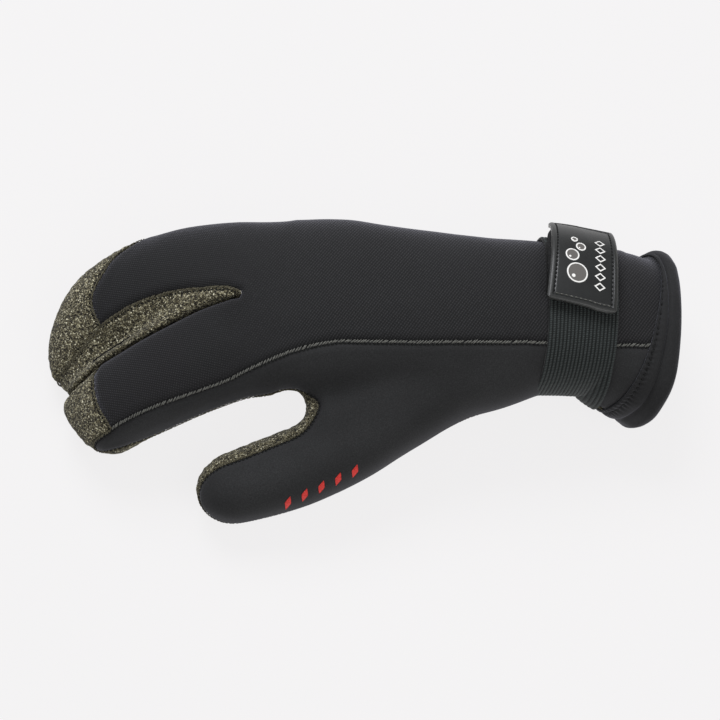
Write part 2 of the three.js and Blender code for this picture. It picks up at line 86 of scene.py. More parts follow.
RADIAL_SEAM = [
    (0.6, 0), (0.459, -0.035), (0.284, -0.075), (0.061, -0.078), (-0.031, -0.07),
    (-0.092, -0.098), (-0.169, -0.178), (-0.216, -0.235), (-0.311, -0.328), (-0.39, -0.405)]
FRONT_TIP_SEAM = [
    (-0.408, -0.036), (-0.42, -0.115), (-0.418, -0.208), (-0.409, -0.31), (-0.39, -0.405),
    (-0.402, -0.422), (-0.42, -0.436), (-0.44, -0.45)]
GUSSET_UPPER_SEAM = [
    (-0.182, 0.225), (-0.2, 0.257), (-0.222, 0.273), (-0.256, 0.285), (-0.302, 0.289),
    (-0.366, 0.25), (-0.413, 0.184)]
GUSSET_TIP_SEAM = [(-0.413, 0.184), (-0.44, 0.108), (-0.466, 0.034), (-0.53, -0.08)]
SLIT_ROUTE = [
    (-0.192, 0.217), (-0.25, 0.182), (-0.304, 0.11), (-0.36, 0.033), (-0.405, -0.032),
    (-0.437, -0.092), (-0.527, -0.222)]
REAR_TIP_SEAM = [
    (-0.28, 0.9), (-0.343, 0.7), (-0.391, 0.575), (-0.412, 0.459), (-0.427, 0.36),
    (-0.4295, 0.31), (-0.424, 0.245), (-0.413, 0.184)]
PARTING_DROP, RADIAL_SLOPE, POCKET_PARTING_DROP, POCKET_FADE = 0.02, 0.2, 3.8, 22
THUMB_PARTING_LIFT, THUMB_PARTING_SLOPE, THUMB_BLEND = 0.147, 1.1, 14
FAR_LEFT, FAR_RIGHT, FAR_ULNAR, FAR_RADIAL = -0.7, 0.6, 0.9, -1.2

# The construction frame of the tables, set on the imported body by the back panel's far corner
TABLES_CORNER = np.array([170.8, 74.8, 86.4])
shift = np.array(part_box("back_panel")[1]) / MM - TABLES_CORNER

GRID = 1.24


def unit(v):
    return v / np.maximum(np.linalg.norm(v, axis=-1, keepdims=True), 1e-9)


def smooth_step(x):
    x = np.clip(x, 0, 1)
    return x * x * (3 - 2 * x)


# Camera
CAMERA_AIM = np.array([0.0, 0.0, 40.0]) + shift
CAMERA_RISE, CAMERA_DISTANCE, VIEW_WIDTH, SENSOR = math.radians(65), 1200, 388.8, 36
camera_data = bpy.data.cameras.new("view")
camera_data.sensor_width = SENSOR
camera_data.lens = SENSOR * CAMERA_DISTANCE / VIEW_WIDTH
camera_data.clip_start, camera_data.clip_end = 0.05, 150
camera = bpy.data.objects.new("view", camera_data)
bpy.context.scene.collection.objects.link(camera)
back = np.array([0, -math.cos(CAMERA_RISE), math.sin(CAMERA_RISE)])
camera.location = Vector((CAMERA_AIM + CAMERA_DISTANCE * back) * MM)
camera.rotation_euler = Vector(-back).to_track_quat("-Z", "Y").to_euler()
bpy.context.scene.camera = camera


def add_object(name, data):
    obj = bpy.data.objects.new(name, data)
    bpy.context.scene.collection.objects.link(obj)
    return obj


def piece(name, mesh, material, stands_for=None):
    """A finished piece of the glove, from points in millimetres and faces."""
    verts, faces = mesh
    data = bpy.data.meshes.new(name)
    data.from_pydata(((verts + shift) * MM).tolist(), [], [list(map(int, f)) for f in faces])
    data.polygons.foreach_set("use_smooth", [True] * len(data.polygons))
    data.update()
    data.materials.append(material)
    obj = add_object(name, data)
    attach(obj, "root")
    if stands_for:
        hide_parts(stands_for)
    return obj


def point_values(obj, name, values):
    obj.data.attributes.new(name, "FLOAT", "POINT").data.foreach_set("value", values)


# Tubes: sections square to a smooth centreline
class Tube:
    STEP = 0.5

    def __init__(self, rows, start=-12.0, tip_power=TIP_POWER):
        self.rows, self.tip_power = rows, tip_power
        gaps = np.linalg.norm(np.diff(rows[:, :3], axis=0), axis=1)
        self.lengths = np.concatenate([[0], np.cumsum(gaps)])
        self.total = self.lengths[-1]
        self.start = start
        self.s = np.arange(start, self.total + self.STEP, self.STEP)
        self.s[-1] = self.total
        self.section = self.exact(self.s)
        ahead = self.exact(np.minimum(self.s + 0.05, self.total))[:, :3]
        behind = self.exact(np.minimum(self.s, self.total - 0.05) - 0.05)[:, :3]
        self.tangent = unit(ahead - behind)
        self.side = unit(np.cross(self.tangent, [0, 0, 1]))
        self.rise = np.cross(self.side, self.tangent)
        self.table = np.hstack([self.section, self.tangent, self.side, self.rise])

    def exact(self, s):
        rows, lengths = self.rows, self.lengths
        slopes = np.diff(rows, axis=0) / np.diff(lengths)[:, None]
        gap = np.diff(lengths)
        tangents = np.empty_like(rows)
        tangents[0], tangents[-1] = slopes[0], slopes[-1]
        before, after = gap[:-1, None], gap[1:, None]
        tangents[1:-1] = (slopes[:-1] * after + slopes[1:] * before) / (before + after)
        end = np.clip(s, 0, lengths[-1])
        i = np.clip(np.searchsorted(lengths, end, side="left") - 1, 0, len(gap) - 1)
        u = ((end - lengths[i]) / gap[i])[:, None]
        span = gap[i][:, None]
        value = ((2 * u**3 - 3 * u**2 + 1) * rows[i] + (3 * u**2 - 2 * u**3) * rows[i + 1]
                 + (u**3 - 2 * u**2 + u) * span * tangents[i]
                 + (u**3 - u**2) * span * tangents[i + 1])
        value[:, :3] += np.minimum(s, 0)[:, None] * slopes[0, :3]
        return value

    def at(self, s):
        """Centre 0:3, half 3, top 4, bottom 5, tangent 6:9, side 9:12, rise 12:15."""
        t = np.clip((s - self.start) / self.STEP, 0, len(self.s) - 1.001)
        i = t.astype(int)
        f = (t - i)[:, None]
        return self.table[i] * (1 - f) + self.table[i + 1] * f

    def ring(self, s, angle, grow=0.0):
        """Surface points for arrays of arc length and angle, grown by grow."""
        row = self.at(s)
        soft = lambda v: np.sign(v) * np.abs(v) ** (2 / SECTION_POWER)
        c, d = soft(np.cos(angle)), soft(np.sin(angle))
        over = np.where(np.sin(angle) >= 0, row[:, 4], row[:, 5]) + grow
        return (row[:, :3] + row[:, 9:12] * (c * (row[:, 3] + grow))[:, None]
                + row[:, 12:15] * (d * over)[:, None])

    def locate(self, points):
        s = np.interp(-points[:, 0], -self.section[:, 0], self.s)
        for _ in range(8):
            row = self.at(s)
            s = np.clip(s + 0.8 * np.einsum("ij,ij->i", points - row[:, :3], row[:, 6:9]),
                        self.start, self.total)
        return s

    def field(self, points, open_start=False):
        """Roughly the distance to the padded surface, negative inside."""
        s = self.locate(points)
        row = self.at(s)
        off = points - row[:, :3]
        beyond = np.einsum("ij,ij->i", off, row[:, 6:9])
        u = np.einsum("ij,ij->i", off, row[:, 9:12])
        w = np.einsum("ij,ij->i", off, row[:, 12:15])
        deep = np.where(w >= 0, row[:, 4], row[:, 5])
        reach = np.maximum(s - (self.total - TIP_ROUND), 0)
        reach += np.where(s >= self.total - 0.01, np.maximum(beyond, 0), 0)
        body = (np.abs(u / row[:, 3]) ** SECTION_POWER
                + np.abs(w / deep) ** SECTION_POWER) ** (1 / SECTION_POWER)
        power = self.tip_power
        whole = np.maximum((body**power + (reach / TIP_ROUND) ** power) ** (1 / power), 1e-6)
        size = np.maximum(np.sqrt(u * u + w * w + reach * reach), 1e-3)
        value = size * (1 - 1 / whole)
        if not open_start:
            value = np.maximum(value, np.where(s <= self.start + 0.01, -beyond, -1e3))
        return value


def sized(rows, width, thickness):
    scale = [GLOVE_LENGTH, PALM_WIDTH, ARCH_HEIGHT, width, thickness, thickness]
    return np.array(rows, float) * scale


hand_rows = np.vstack([sized(HAND_ROWS, PALM_WIDTH, PALM_THICKNESS),
                       sized(REAR_ROWS, POCKET_WIDTH, POCKET_THICKNESS)])
rear_tube = Tube(hand_rows)
front_tube = Tube(sized(FRONT_ROWS, POCKET_WIDTH, POCKET_THICKNESS), 0.0, FRONT_TIP_POWER)
thumb_tube = Tube(sized(THUMB_ROWS, THUMB_WIDTH, THUMB_THICKNESS), 0.0)
web_tube = Tube(sized(WEB_ROWS, THUMB_WIDTH, THUMB_THICKNESS), 0.0)


# Curves seen from above
def plan_curve(route, steps=48):
    p = np.array(route, float) * [GLOVE_LENGTH, PALM_WIDTH]
    t = np.linspace(0, len(p) - 1, steps + 1)
    i = np.minimum(t.astype(int), len(p) - 2)
    f = (t - i)[:, None]
    p0, p1 = p[np.maximum(i - 1, 0)], p[i]
    p2, p3 = p[i + 1], p[np.minimum(i + 2, len(p) - 1)]
    v0, v1 = (p2 - p0) / 2, (p3 - p1) / 2
    return ((2 * p1 - 2 * p2 + v0 + v1) * f**3 + (-3 * p1 + 3 * p2 - 2 * v0 - v1) * f**2
            + v0 * f + p1)


def inside(polygon, points):
    x, y = points[:, 0], points[:, 1]
    result = np.zeros(len(points), bool)
    for (x0, y0), (x1, y1) in zip(polygon, np.roll(polygon, -1, 0)):
        if y0 == y1:
            continue
        crosses = (y0 > y) != (y1 > y)
        result ^= crosses & (x < (x1 - x0) * (y - y0) / (y1 - y0) + x0)
    return result


def plan_distance(route, points):
    """Distance from each point to an open route, both seen from above."""
    best = np.full(len(points), 1e9)
    for a, b in zip(route[:-1], route[1:]):
        ab = b - a
        t = np.clip((points[:, :2] - a) @ ab / np.linalg.norm(ab) ** 2, 0, 1)
        best = np.minimum(best, np.linalg.norm(points[:, :2] - a - t[:, None] * ab, axis=1))
    return best


slit_curve = plan_curve(SLIT_ROUTE, 24)
radial_curve = plan_curve(RADIAL_SEAM)
front_tip_curve = plan_curve(FRONT_TIP_SEAM, 24)
gusset_upper_curve = plan_curve(GUSSET_UPPER_SEAM, 24)
gusset_tip_curve = plan_curve(GUSSET_TIP_SEAM, 12)
rear_tip_curve = plan_curve(REAR_TIP_SEAM, 24)
corner = lambda along, across: np.array([[along * GLOVE_LENGTH, across * PALM_WIDTH]])

gusset_area = np.vstack([gusset_upper_curve, gusset_tip_curve[1:], slit_curve[::-1]])
rear_tip_area = np.vstack([rear_tip_curve, gusset_tip_curve[1:],
                           corner(FAR_LEFT, GUSSET_TIP_SEAM[-1][1]), corner(FAR_LEFT, FAR_ULNAR)])
front_tip_area = np.vstack([front_tip_curve, corner(FRONT_TIP_SEAM[-1][0], FAR_RADIAL),
                            corner(FAR_LEFT, FAR_RADIAL),
                            corner(FAR_LEFT, GUSSET_TIP_SEAM[-1][1])])
ulnar_area = np.vstack([radial_curve, corner(FAR_LEFT, RADIAL_SEAM[-1][1]),
                        corner(FAR_LEFT, FAR_ULNAR), corner(FAR_RIGHT, FAR_ULNAR)])


def at_x(tube, x):
    order = np.argsort(tube.section[:, 0])
    return [np.interp(x, tube.section[order, 0], tube.section[order, k]) for k in range(6)]


def parting_height(points):
    x, y = points[:, 0], points[:, 1]
    hand, thumb = at_x(rear_tube, x), at_x(thumb_tube, x)
    hand_height = hand[2] - PARTING_DROP * ARCH_HEIGHT - RADIAL_SLOPE * np.maximum(0, -y)
    thumb_height = (thumb[2] + THUMB_PARTING_LIFT * ARCH_HEIGHT
                    + THUMB_PARTING_SLOPE * (y - thumb[1]))
    hand_height -= POCKET_PARTING_DROP * smooth_step((crotch_centre[0] - x) / POCKET_FADE)
    share = smooth_step((thumb[1] + thumb[3] + THUMB_BLEND - y) / (2 * THUMB_BLEND))
    return hand_height + share * (thumb_height - hand_height)


# The foam body as one field
HAND_BLEND, SLIT_BLEND, THUMB_JOIN, WEB_JOIN = 11.0, 10.0, 12.0, 9.0
SLIT_HALF, SLIT_LIP, SLIT_FADE_FROM, SLIT_FADE, CROTCH_LIP = 1.0, 5.0, 14, 22, 5.0
FIELD_LOW, FIELD_HIGH = np.array([-176.0, -88.0, -9.0]), np.array([184.0, 86.0, 96.0])
crotch_centre = np.array([-0.112 * GLOVE_LENGTH, -0.275 * PALM_WIDTH, 0.69 * ARCH_HEIGHT])
lean = math.radians(90 + CROTCH_LEAN)
crotch_axis = np.array([0, math.cos(lean), math.sin(lean)])
floor_level = -shift[2]


def blend_union(a, b, k):
    h = np.maximum(k - np.abs(a - b), 0) / k
    return np.minimum(a, b) - h * h * k / 4


def body_field(points):
    """The outside of the foam: pockets, web and thumb joined, slit and crotch cut out."""
    before_start = np.einsum("ij,j->i", points[:, :2] - slit_curve[0],
                             unit(slit_curve[1] - slit_curve[0]))
    fade = smooth_step((SLIT_FADE_FROM - before_start) / SLIT_FADE)
    value = blend_union(rear_tube.field(points, True), front_tube.field(points),
                        SLIT_BLEND + (HAND_BLEND - SLIT_BLEND) * fade)
    value = blend_union(value, web_tube.field(points), WEB_JOIN)
    value = blend_union(value, thumb_tube.field(points), THUMB_JOIN)
    slit = plan_distance(slit_curve, points) - SLIT_HALF
    slit = np.where(before_start < -1, np.maximum(slit, -before_start), slit)
    value = -blend_union(-value, slit, SLIT_LIP)
    off = points - crotch_centre
    off = off - np.outer(off @ crotch_axis, crotch_axis)
    return -blend_union(-value, np.linalg.norm(off, axis=1) - CROTCH_RADIUS, CROTCH_LIP)


def banded_field(step, band=5.5, coarse=4, most_points=200000):
    """The field on a fine grid, worked out only near the surface."""
    counts = np.ceil((FIELD_HIGH - FIELD_LOW) / (step * coarse)).astype(int) + 1
    wide = [FIELD_LOW[k] + step * coarse * np.arange(counts[k]) for k in range(3)]
    grid = np.stack(np.meshgrid(*wide, indexing="ij"), -1)
    fine = body_field(grid.reshape(-1, 3)).reshape(grid.shape[:3])
    for axis in range(3):
        n = fine.shape[axis]
        t = np.arange((n - 1) * coarse + 1) / coarse
        i = np.minimum(t.astype(int), n - 2)
        f = (t - i).reshape([-1 if k == axis else 1 for k in range(3)])
        fine = np.take(fine, i, axis) * (1 - f) + np.take(fine, i + 1, axis) * f
    near = np.argwhere(np.abs(fine) < band)
    chunks = np.array_split(FIELD_LOW + near * step, max(1, len(near) // most_points))
    fine[tuple(near.T)] = np.concatenate([body_field(chunk) for chunk in chunks])
    return fine


def surface_nets(values, low, step):
    """Quads over the zero level, facing out."""
    within = values < 0
    cells = np.array(values.shape) - 1
    total = np.zeros(tuple(cells) + (3,), np.float32)
    count = np.zeros(tuple(cells), np.float32)
    crossings = []
    for axis in range(3):
        near = tuple(slice(0, -1) if k == axis else slice(None) for k in range(3))
        far = tuple(slice(1, None) if k == axis else slice(None) for k in range(3))
        cut = within[near] != within[far]
        where, a, b = np.argwhere(cut), values[near][cut], values[far][cut]
        place = where.astype(np.float32)
        place[:, axis] += a / (a - b)
        sides = [k for k in range(3) if k != axis]
        crossings.append((axis, sides, where, a < 0))
        for step_back in np.ndindex(2, 2):
            cell = where.copy()
            cell[:, sides] -= step_back
            ok = ((cell >= 0) & (cell < cells)).all(1)
            np.add.at(total, tuple(cell[ok].T), place[ok])
            np.add.at(count, tuple(cell[ok].T), 1)
    used = count > 0
    index = np.full(tuple(cells), -1, np.int64)
    index[used] = np.arange(used.sum())
    verts = low + step * (total[used] / count[used][:, None])
    quads = []
    for axis, sides, where, starts_inside in crossings:
        ok = ((where[:, sides] > 0) & (where[:, sides] < cells[sides])).all(1)
        quad = np.empty((ok.sum(), 4), np.int64)
        for k, step_back in enumerate(((0, 0), (1, 0), (1, 1), (0, 1))):
            cell = where[ok]
            cell[:, sides] -= step_back
            quad[:, k] = index[tuple(cell.T)]
        flip = starts_inside[ok] if axis == 1 else ~starts_inside[ok]
        quad[flip] = quad[flip][:, ::-1]
        quads.append(quad)
    return verts, np.vstack(quads)


def vertex_normals(verts, quads):
    a = verts[quads[:, 2]] - verts[quads[:, 0]]
    b = verts[quads[:, 3]] - verts[quads[:, 1]]
    n = np.cross(a, b)
    out = np.zeros_like(verts)
    for k in range(4):
        np.add.at(out, quads[:, k], n)
    return unit(out)


def edges_of(quads):
    return np.vstack([quads[:, [k, (k + 1) % 4]] for k in range(4)])


def relax(verts, pairs, amount, fixed=None):
    """One step of even spacing: each point moves towards the mean of its neighbours."""
    total = np.zeros_like(verts)
    count = np.zeros(len(verts))
    np.add.at(total, pairs[:, 0], verts[pairs[:, 1]])
    np.add.at(total, pairs[:, 1], verts[pairs[:, 0]])
    np.add.at(count, pairs[:, 0], 1)
    np.add.at(count, pairs[:, 1], 1)
    move = total / np.maximum(count, 1)[:, None] - verts
    if fixed is not None:
        move[fixed] = 0
    return verts + amount * move


class Level:
    """The field read back from its grid."""

    def __init__(self, values, low, step):
        self.values, self.low, self.step = values, low, step

    def at(self, points):
        t = (points - self.low) / self.step
        i = np.clip(t.astype(int), 0, np.array(self.values.shape) - 2)
        f = t - i
        out = np.zeros(len(points))
        for step_on in np.ndindex(2, 2, 2):
            weight = np.prod(np.where(step_on, f, 1 - f), axis=1)
            out += weight * self.values[tuple((i + step_on).T)]
        return out

    def slope(self, points):
        e = 0.75 * self.step
        return np.stack([(self.at(points + e * a) - self.at(points - e * a)) / (2 * e)
                         for a in np.eye(3)], 1)

    def settle(self, points, steps=2, reach=0.8):
        for _ in range(steps):
            slope = self.slope(points)
            size = np.maximum(np.einsum("ij,ij->i", slope, slope), 0.3)
            points = points - (np.clip(self.at(points), -reach, reach) / size)[:, None] * slope
        return points


values = banded_field(GRID)
level = Level(values, FIELD_LOW, GRID)
skin, quads = surface_nets(values, FIELD_LOW, GRID)

# Panels of the skin: which one each face belongs to
BACK, SIDE, GUSSET, PALM, CUT = range(5)
PANEL_NAMES = ("back_panel", "side_panel", "finger_gusset", "palm_panel")


def label_faces(points):
    above = points[:, 2] > parting_height(points)
    in_gusset = inside(gusset_area, points)
    tips = (inside(rear_tip_area, points) | inside(front_tip_area, points)) & ~in_gusset
    label = np.where(inside(ulnar_area, points), BACK, SIDE)
    label[in_gusset] = GUSSET
    label[~above | tips] = PALM
    rim = rear_tube.at(np.zeros(1))[0]
    beyond = (points - rim[:3]) @ rim[6:9] < 0
    label[beyond & (points[:, 0] > 100)] = CUT
    return label


def neighbours(quads):
    """Pairs of faces that share an edge, with the edge."""
    e = np.sort(edges_of(quads), axis=1)
    face = np.tile(np.arange(len(quads)), 4)
    order = np.lexsort((e[:, 1], e[:, 0]))
    e, face = e[order], face[order]
    same = (e[1:] == e[:-1]).all(1)
    return face[:-1][same], face[1:][same], e[:-1][same]


def drop_crumbs(label, first, second, smallest=400):
    """Small islands of a panel join the panel around them."""
    for _ in range(3):
        root = np.arange(len(label))

        def find(i):
            while root[i] != i:
                root[i] = root[root[i]]
                i = root[i]
            return i

        same = label[first] == label[second]
        for a, b in zip(first[same], second[same]):
            root[find(a)] = find(b)
        group = np.array([find(i) for i in range(len(label))])
        names, counts = np.unique(group, return_counts=True)
        small = np.isin(group, names[counts < smallest])
        new = {}
        for one, other in ((first, second), (second, first)):
            edge = small[one] & ~small[other]
            for island, around in zip(group[one[edge]], label[other[edge]]):
                new.setdefault(island, around)
        for island, around in new.items():
            label[group == island] = around
    return label


label = label_faces(skin[quads].mean(1))
first, second, shared = neighbours(quads)
label = drop_crumbs(label, first, second)

# Seams run smoothly: their points even out along the seam, the rest evens out between them
seam = label[first] != label[second]
seam_edges = shared[seam]
ends = np.bincount(seam_edges.ravel(), minlength=len(skin))
on_seam = ends > 0
plain_seam = ends == 2
for sweep in range(10):
    total = np.zeros_like(skin)
    np.add.at(total, seam_edges[:, 0], skin[seam_edges[:, 1]])
    np.add.at(total, seam_edges[:, 1], skin[seam_edges[:, 0]])
    along = total / np.maximum(ends, 1)[:, None]
    skin[plain_seam] += 0.5 * (along - skin)[plain_seam]
    skin = relax(skin, shared, 0.5, on_seam)
    if sweep % 3 == 2:
        skin = level.settle(skin, 1)
skin = level.settle(skin, 2)
normal = vertex_normals(skin, quads)
soft_normal = normal
for _ in range(12):
    soft_normal = unit(relax(soft_normal, shared, 0.7))


def seam_chains(a, b):
    """The seam between two panels as ordered lists of skin points."""
    la, lb = label[first], label[second]
    mine = ((la == a) & (lb == b)) | ((la == b) & (lb == a))
    links = {}
    for p, q in shared[mine]:
        links.setdefault(int(p), []).append(int(q))
        links.setdefault(int(q), []).append(int(p))
    chains, left = [], set(links)
    while left:
        start = next((v for v in sorted(left) if len(links[v]) == 1), min(left))
        chain, here = [start], start
        left.discard(start)
        while True:
            ahead = [v for v in links[here] if v in left]
            if not ahead:
                break
            here = ahead[0]
            left.discard(here)
            chain.append(here)
        chains.append(chain)
    return sorted(chains, key=len, reverse=True)


def fabric_noise(points, scale, seed):
    """Smooth noise of about -1 to 1, with features of that many millimetres."""
    off = Vector((seed * 17.3, seed * 5.1, seed * 9.7))
    return np.array([noise.noise(Vector(p) / scale + off) for p in points])


EDGE_SINK, EDGE_ROUND, GRIP_BUMP = 0.9, 1.9, 0.4
EDGE_SWELL, SWELL_AT, SWELL_WIDTH = 0.25, 4.5, 2.6
DRAPE, DRAPE_SIZE, DRAPE_FINE = 0.45, 42, 17
COARSE_GRAIN, FINE_GRAIN = 3.1, 1.9


def panel(which, material, lining):
    """One panel as a foam wall: its edges sink into their seams and swell a little beside them."""
    faces = quads[label == which]
    used, local = np.unique(faces, return_inverse=True)
    faces = local.reshape(-1, 4)
    points = skin[used]
    edges = edges_of(faces)
    _, index, count = np.unique(np.sort(edges, axis=1), axis=0, return_index=True,
                                return_counts=True)
    rim = edges[index[count == 1]]
    rim_points = np.unique(rim)
    tree = KDTree(len(rim_points))
    for v in rim_points:
        tree.insert(points[v], int(v))
    tree.balance()
    away = np.array([tree.find(p)[2] for p in points])
    sink = EDGE_SINK * np.exp(-((away / EDGE_ROUND) ** 2))
    swell = EDGE_SWELL * np.exp(-(((away - SWELL_AT) / SWELL_WIDTH) ** 2))
    drape = DRAPE * (fabric_noise(points, DRAPE_SIZE, which)
                     + 0.5 * fabric_noise(points, DRAPE_FINE, 9 + which))
    lift = swell - sink + drape * smooth_step(away / 6)
    if which in (GUSSET, PALM):
        grain = fabric_noise(points, COARSE_GRAIN, 4) + 0.6 * fabric_noise(points, FINE_GRAIN, 5)
        lift += GRIP_BUMP * grain * smooth_step(0.35 + away / 3)
    outer = points + normal[used] * lift[:, None]
    inner = points - soft_normal[used] * WALL
    outer[:, 2] = np.maximum(outer[:, 2], floor_level)
    inner[:, 2] = np.maximum(inner[:, 2], floor_level + 0.8 * WALL)
    count = len(points)
    walls = np.stack([rim[:, 1], rim[:, 0], rim[:, 0] + count, rim[:, 1] + count], 1)
    all_faces = np.vstack([faces, faces[:, ::-1] + count, walls])
    obj = piece(PANEL_NAMES[which] + "_cloth", (np.vstack([outer, inner]), all_faces), material,
                PANEL_NAMES[which])
    obj.data.materials.append(lining)
    material_index = np.arange(len(all_faces)) >= len(faces)
    obj.data.polygons.foreach_set("material_index", material_index.astype(np.int32))


# Points of the photograph's frame carried back onto the glove
FRAME_PIXELS = 720
skin_tree = BVHTree.FromPolygons(skin.tolist(), quads.tolist())
view_x = np.array([1.0, 0.0, 0.0])
view_y = np.cross(back, view_x)
eye = CAMERA_AIM - shift + CAMERA_DISTANCE * back


def seen_at(px, py):
    """The skin point, with its normal, that shows at this place in the 720 by 720 frame."""
    scale = VIEW_WIDTH / FRAME_PIXELS
    half = FRAME_PIXELS / 2
    ray = unit(-CAMERA_DISTANCE * back + (px - half) * scale * view_x
               + (half - py) * scale * view_y)
    place, n, _, _ = skin_tree.ray_cast(Vector(eye), Vector(ray))
    return np.array(place), np.array(n)


def grid_faces(rows, columns, wrap_rows=False, wrap_columns=False):
    faces = []
    for i in range(rows if wrap_rows else rows - 1):
        for j in range(columns if wrap_columns else columns - 1):
            a, b = i * columns + j, i * columns + (j + 1) % columns
            c, d = (i + 1) % rows * columns + j, (i + 1) % rows * columns + (j + 1) % columns
            faces.append((a, b, d, c))
    return faces


def tube_mesh(points, normals, radius, sides, flat):
    """A thread along a path; flat squashes it towards the surface."""
    ahead = unit(np.gradient(points, axis=0))
    across = unit(np.cross(ahead, normals))
    over = np.cross(across, ahead) * flat
    turn = np.arange(sides) * 2 * math.pi / sides
    wide, high = (radius[:, None] * f(turn) for f in (np.cos, np.sin))
    verts = points[:, None] + across[:, None] * wide[..., None] + over[:, None] * high[..., None]
    count = len(points) * sides
    faces = grid_faces(len(points), sides, wrap_columns=True)
    faces += [tuple(reversed(range(sides))), tuple(range(count - sides, count))]
    return verts.reshape(-1, 3), faces


def join_meshes(parts):
    verts, faces, start = [], [], 0
    for v, f in parts:
        verts.append(v)
        faces += [tuple(i + start for i in face) for face in f]
        start += len(v)
    return np.vstack(verts), faces


def shell_mesh(top, bottom, band=False):
    """A closed plate between two grids of points, or a band that closes round its rows."""
    rows, columns = top.shape[:2]
    count = rows * columns
    ids = np.arange(count).reshape(rows, columns)
    grid = grid_faces(rows, columns, band)
    faces = [f[::-1] for f in grid] + [tuple(i + count for i in f) for f in grid]
    borders = [np.concatenate([ids[0], ids[1:, -1], ids[-1, -2::-1], ids[-2:0:-1, 0]])]
    if band:
        borders = [ids[:, 0], ids[::-1, -1]]
    for border in borders:
        faces += [(p, p + count, q + count, q) for p, q in zip(border, np.roll(border, -1))]
    if band:
        faces = [f[::-1] for f in faces]
    return np.vstack([top.reshape(-1, 3), bottom.reshape(-1, 3)]), faces


# Bands round the wrist: position by angle round the hand tube and distance across the band
strap_middle = STRAP_FROM_RIM + STRAP_WIDTH / 2
strap_centre = rear_tube.at(np.array([strap_middle]))[0, :3]
strap_run = rear_tube.at(np.array([strap_middle + 1]))[0, :3] - strap_centre
strap_run[1] += STRAP_TURN
strap_run[2] *= STRAP_LEAN
strap_run = unit(strap_run)


def band_points(angle, across, grow):
    """Points on the hand tube grown by grow, at that angle and distance across the strap."""
    angle, across, grow = np.broadcast_arrays(angle, across, grow)
    shape = angle.shape
    angle, across, grow = angle.ravel(), across.ravel(), grow.ravel()
    low = np.full(len(angle), STRAP_FROM_RIM - 24.0)
    high = np.full(len(angle), STRAP_FROM_RIM + STRAP_WIDTH + 24.0)
    for _ in range(18):
        middle = (low + high) / 2
        p = rear_tube.ring(middle, angle, grow)
        short = (p - strap_centre) @ strap_run < across
        low, high = np.where(short, middle, low), np.where(short, high, middle)
    return rear_tube.ring((low + high) / 2, angle, grow).reshape(shape + (3,))


# Cuff binding: one strip folded over the foam's end, with a rolled rim
BINDING_PROFILE = [
    (12.5, 0.4), (12.5, 1.1), (12.1, 1.6), (11.6, 1.35), (11.1, 1.2), (10.6, 1.45), (9.8, 1.95),
    (8.8, 2.15), (7.9, 2.0), (7.2, 1.5), (6.75, 0.95), (6.3, 1.3), (5.7, 2.1), (4.6, 2.75),
    (3.2, 3.0), (1.8, 2.85), (0.5, 2.2), (-0.7, 1.1), (-1.5, -0.5), (-1.9, -2.4), (-1.9, -4.4),
    (-1.4, -6.3), (-0.3, -7.9), (1.2, -8.8), (3.0, -9.0), (6.0, -8.8), (9.0, -8.7), (11.5, -8.7),
    (12.4, -8.5), (12.6, -8.0), (12.3, -7.4), (9.0, -7.35), (4.0, -7.35), (0.2, -7.3),
    (-0.25, -6.6), (-0.25, -3.0), (-0.25, -0.2), (0.2, 0.3), (4.0, 0.32), (8.0, 0.32)]
BINDING_SIDES = 420
RIM_FULLNESS, RIM_DEPTH = 3.4, 7
CUFF_SEAM_AT, CUFF_PITCH, CUFF_LENGTH = 11.2, 2.9, 236
PUCKER, PUCKER_SIZE, SLOW_SIZE, DIMPLE = 0.28, 6.5, 19, 0.3


def cuff_binding():
    profile = np.array(BINDING_PROFILE)
    count = len(profile)
    closed = np.vstack([profile, profile[:1]])
    t = np.linspace(0, count, (count * 2) + 1)[:-1]
    profile = np.stack([np.interp(t, range(count + 1), closed[:, k]) for k in range(2)], 1)
    angle = np.linspace(0, 2 * math.pi, BINDING_SIDES, endpoint=False)
    a, s = np.meshgrid(angle, profile[:, 0], indexing="ij")
    grow = np.broadcast_to(profile[:, 1], a.shape).copy()
    outside = grow > 0.7
    spot = np.stack([np.cos(a) * 34, np.sin(a) * 34, s * 1.6], -1).reshape(-1, 3)
    pucker = fabric_noise(spot, PUCKER_SIZE, 3).reshape(a.shape)
    slow = fabric_noise(spot, SLOW_SIZE, 6).reshape(a.shape)
    weight = np.where(outside, 1.0, 0.25) * smooth_step((12.6 - s) / 3)
    # the rim is fuller on the thumb's side, and each stitch draws a dimple
    fuller = smooth_step((a - 0.4 * math.pi) / 1.3) * smooth_step((1.45 * math.pi - a) / 0.8)
    grow += weight * (PUCKER * pucker + (0.4 + 0.5 * fuller) * slow)
    stitch = np.cos(round(CUFF_LENGTH / CUFF_PITCH) * a)
    grow += DIMPLE * outside * stitch * np.exp(-((s - CUFF_SEAM_AT) / 1.2) ** 2)
    s = s - RIM_FULLNESS * fuller * smooth_step((RIM_DEPTH - s) / 6) * (1 + 0.25 * slow)
    points = rear_tube.ring(s.ravel(), a.ravel(), grow.ravel())
    points[:, 2] = np.maximum(points[:, 2], floor_level)
    return points, grid_faces(BINDING_SIDES, len(profile), True, True)


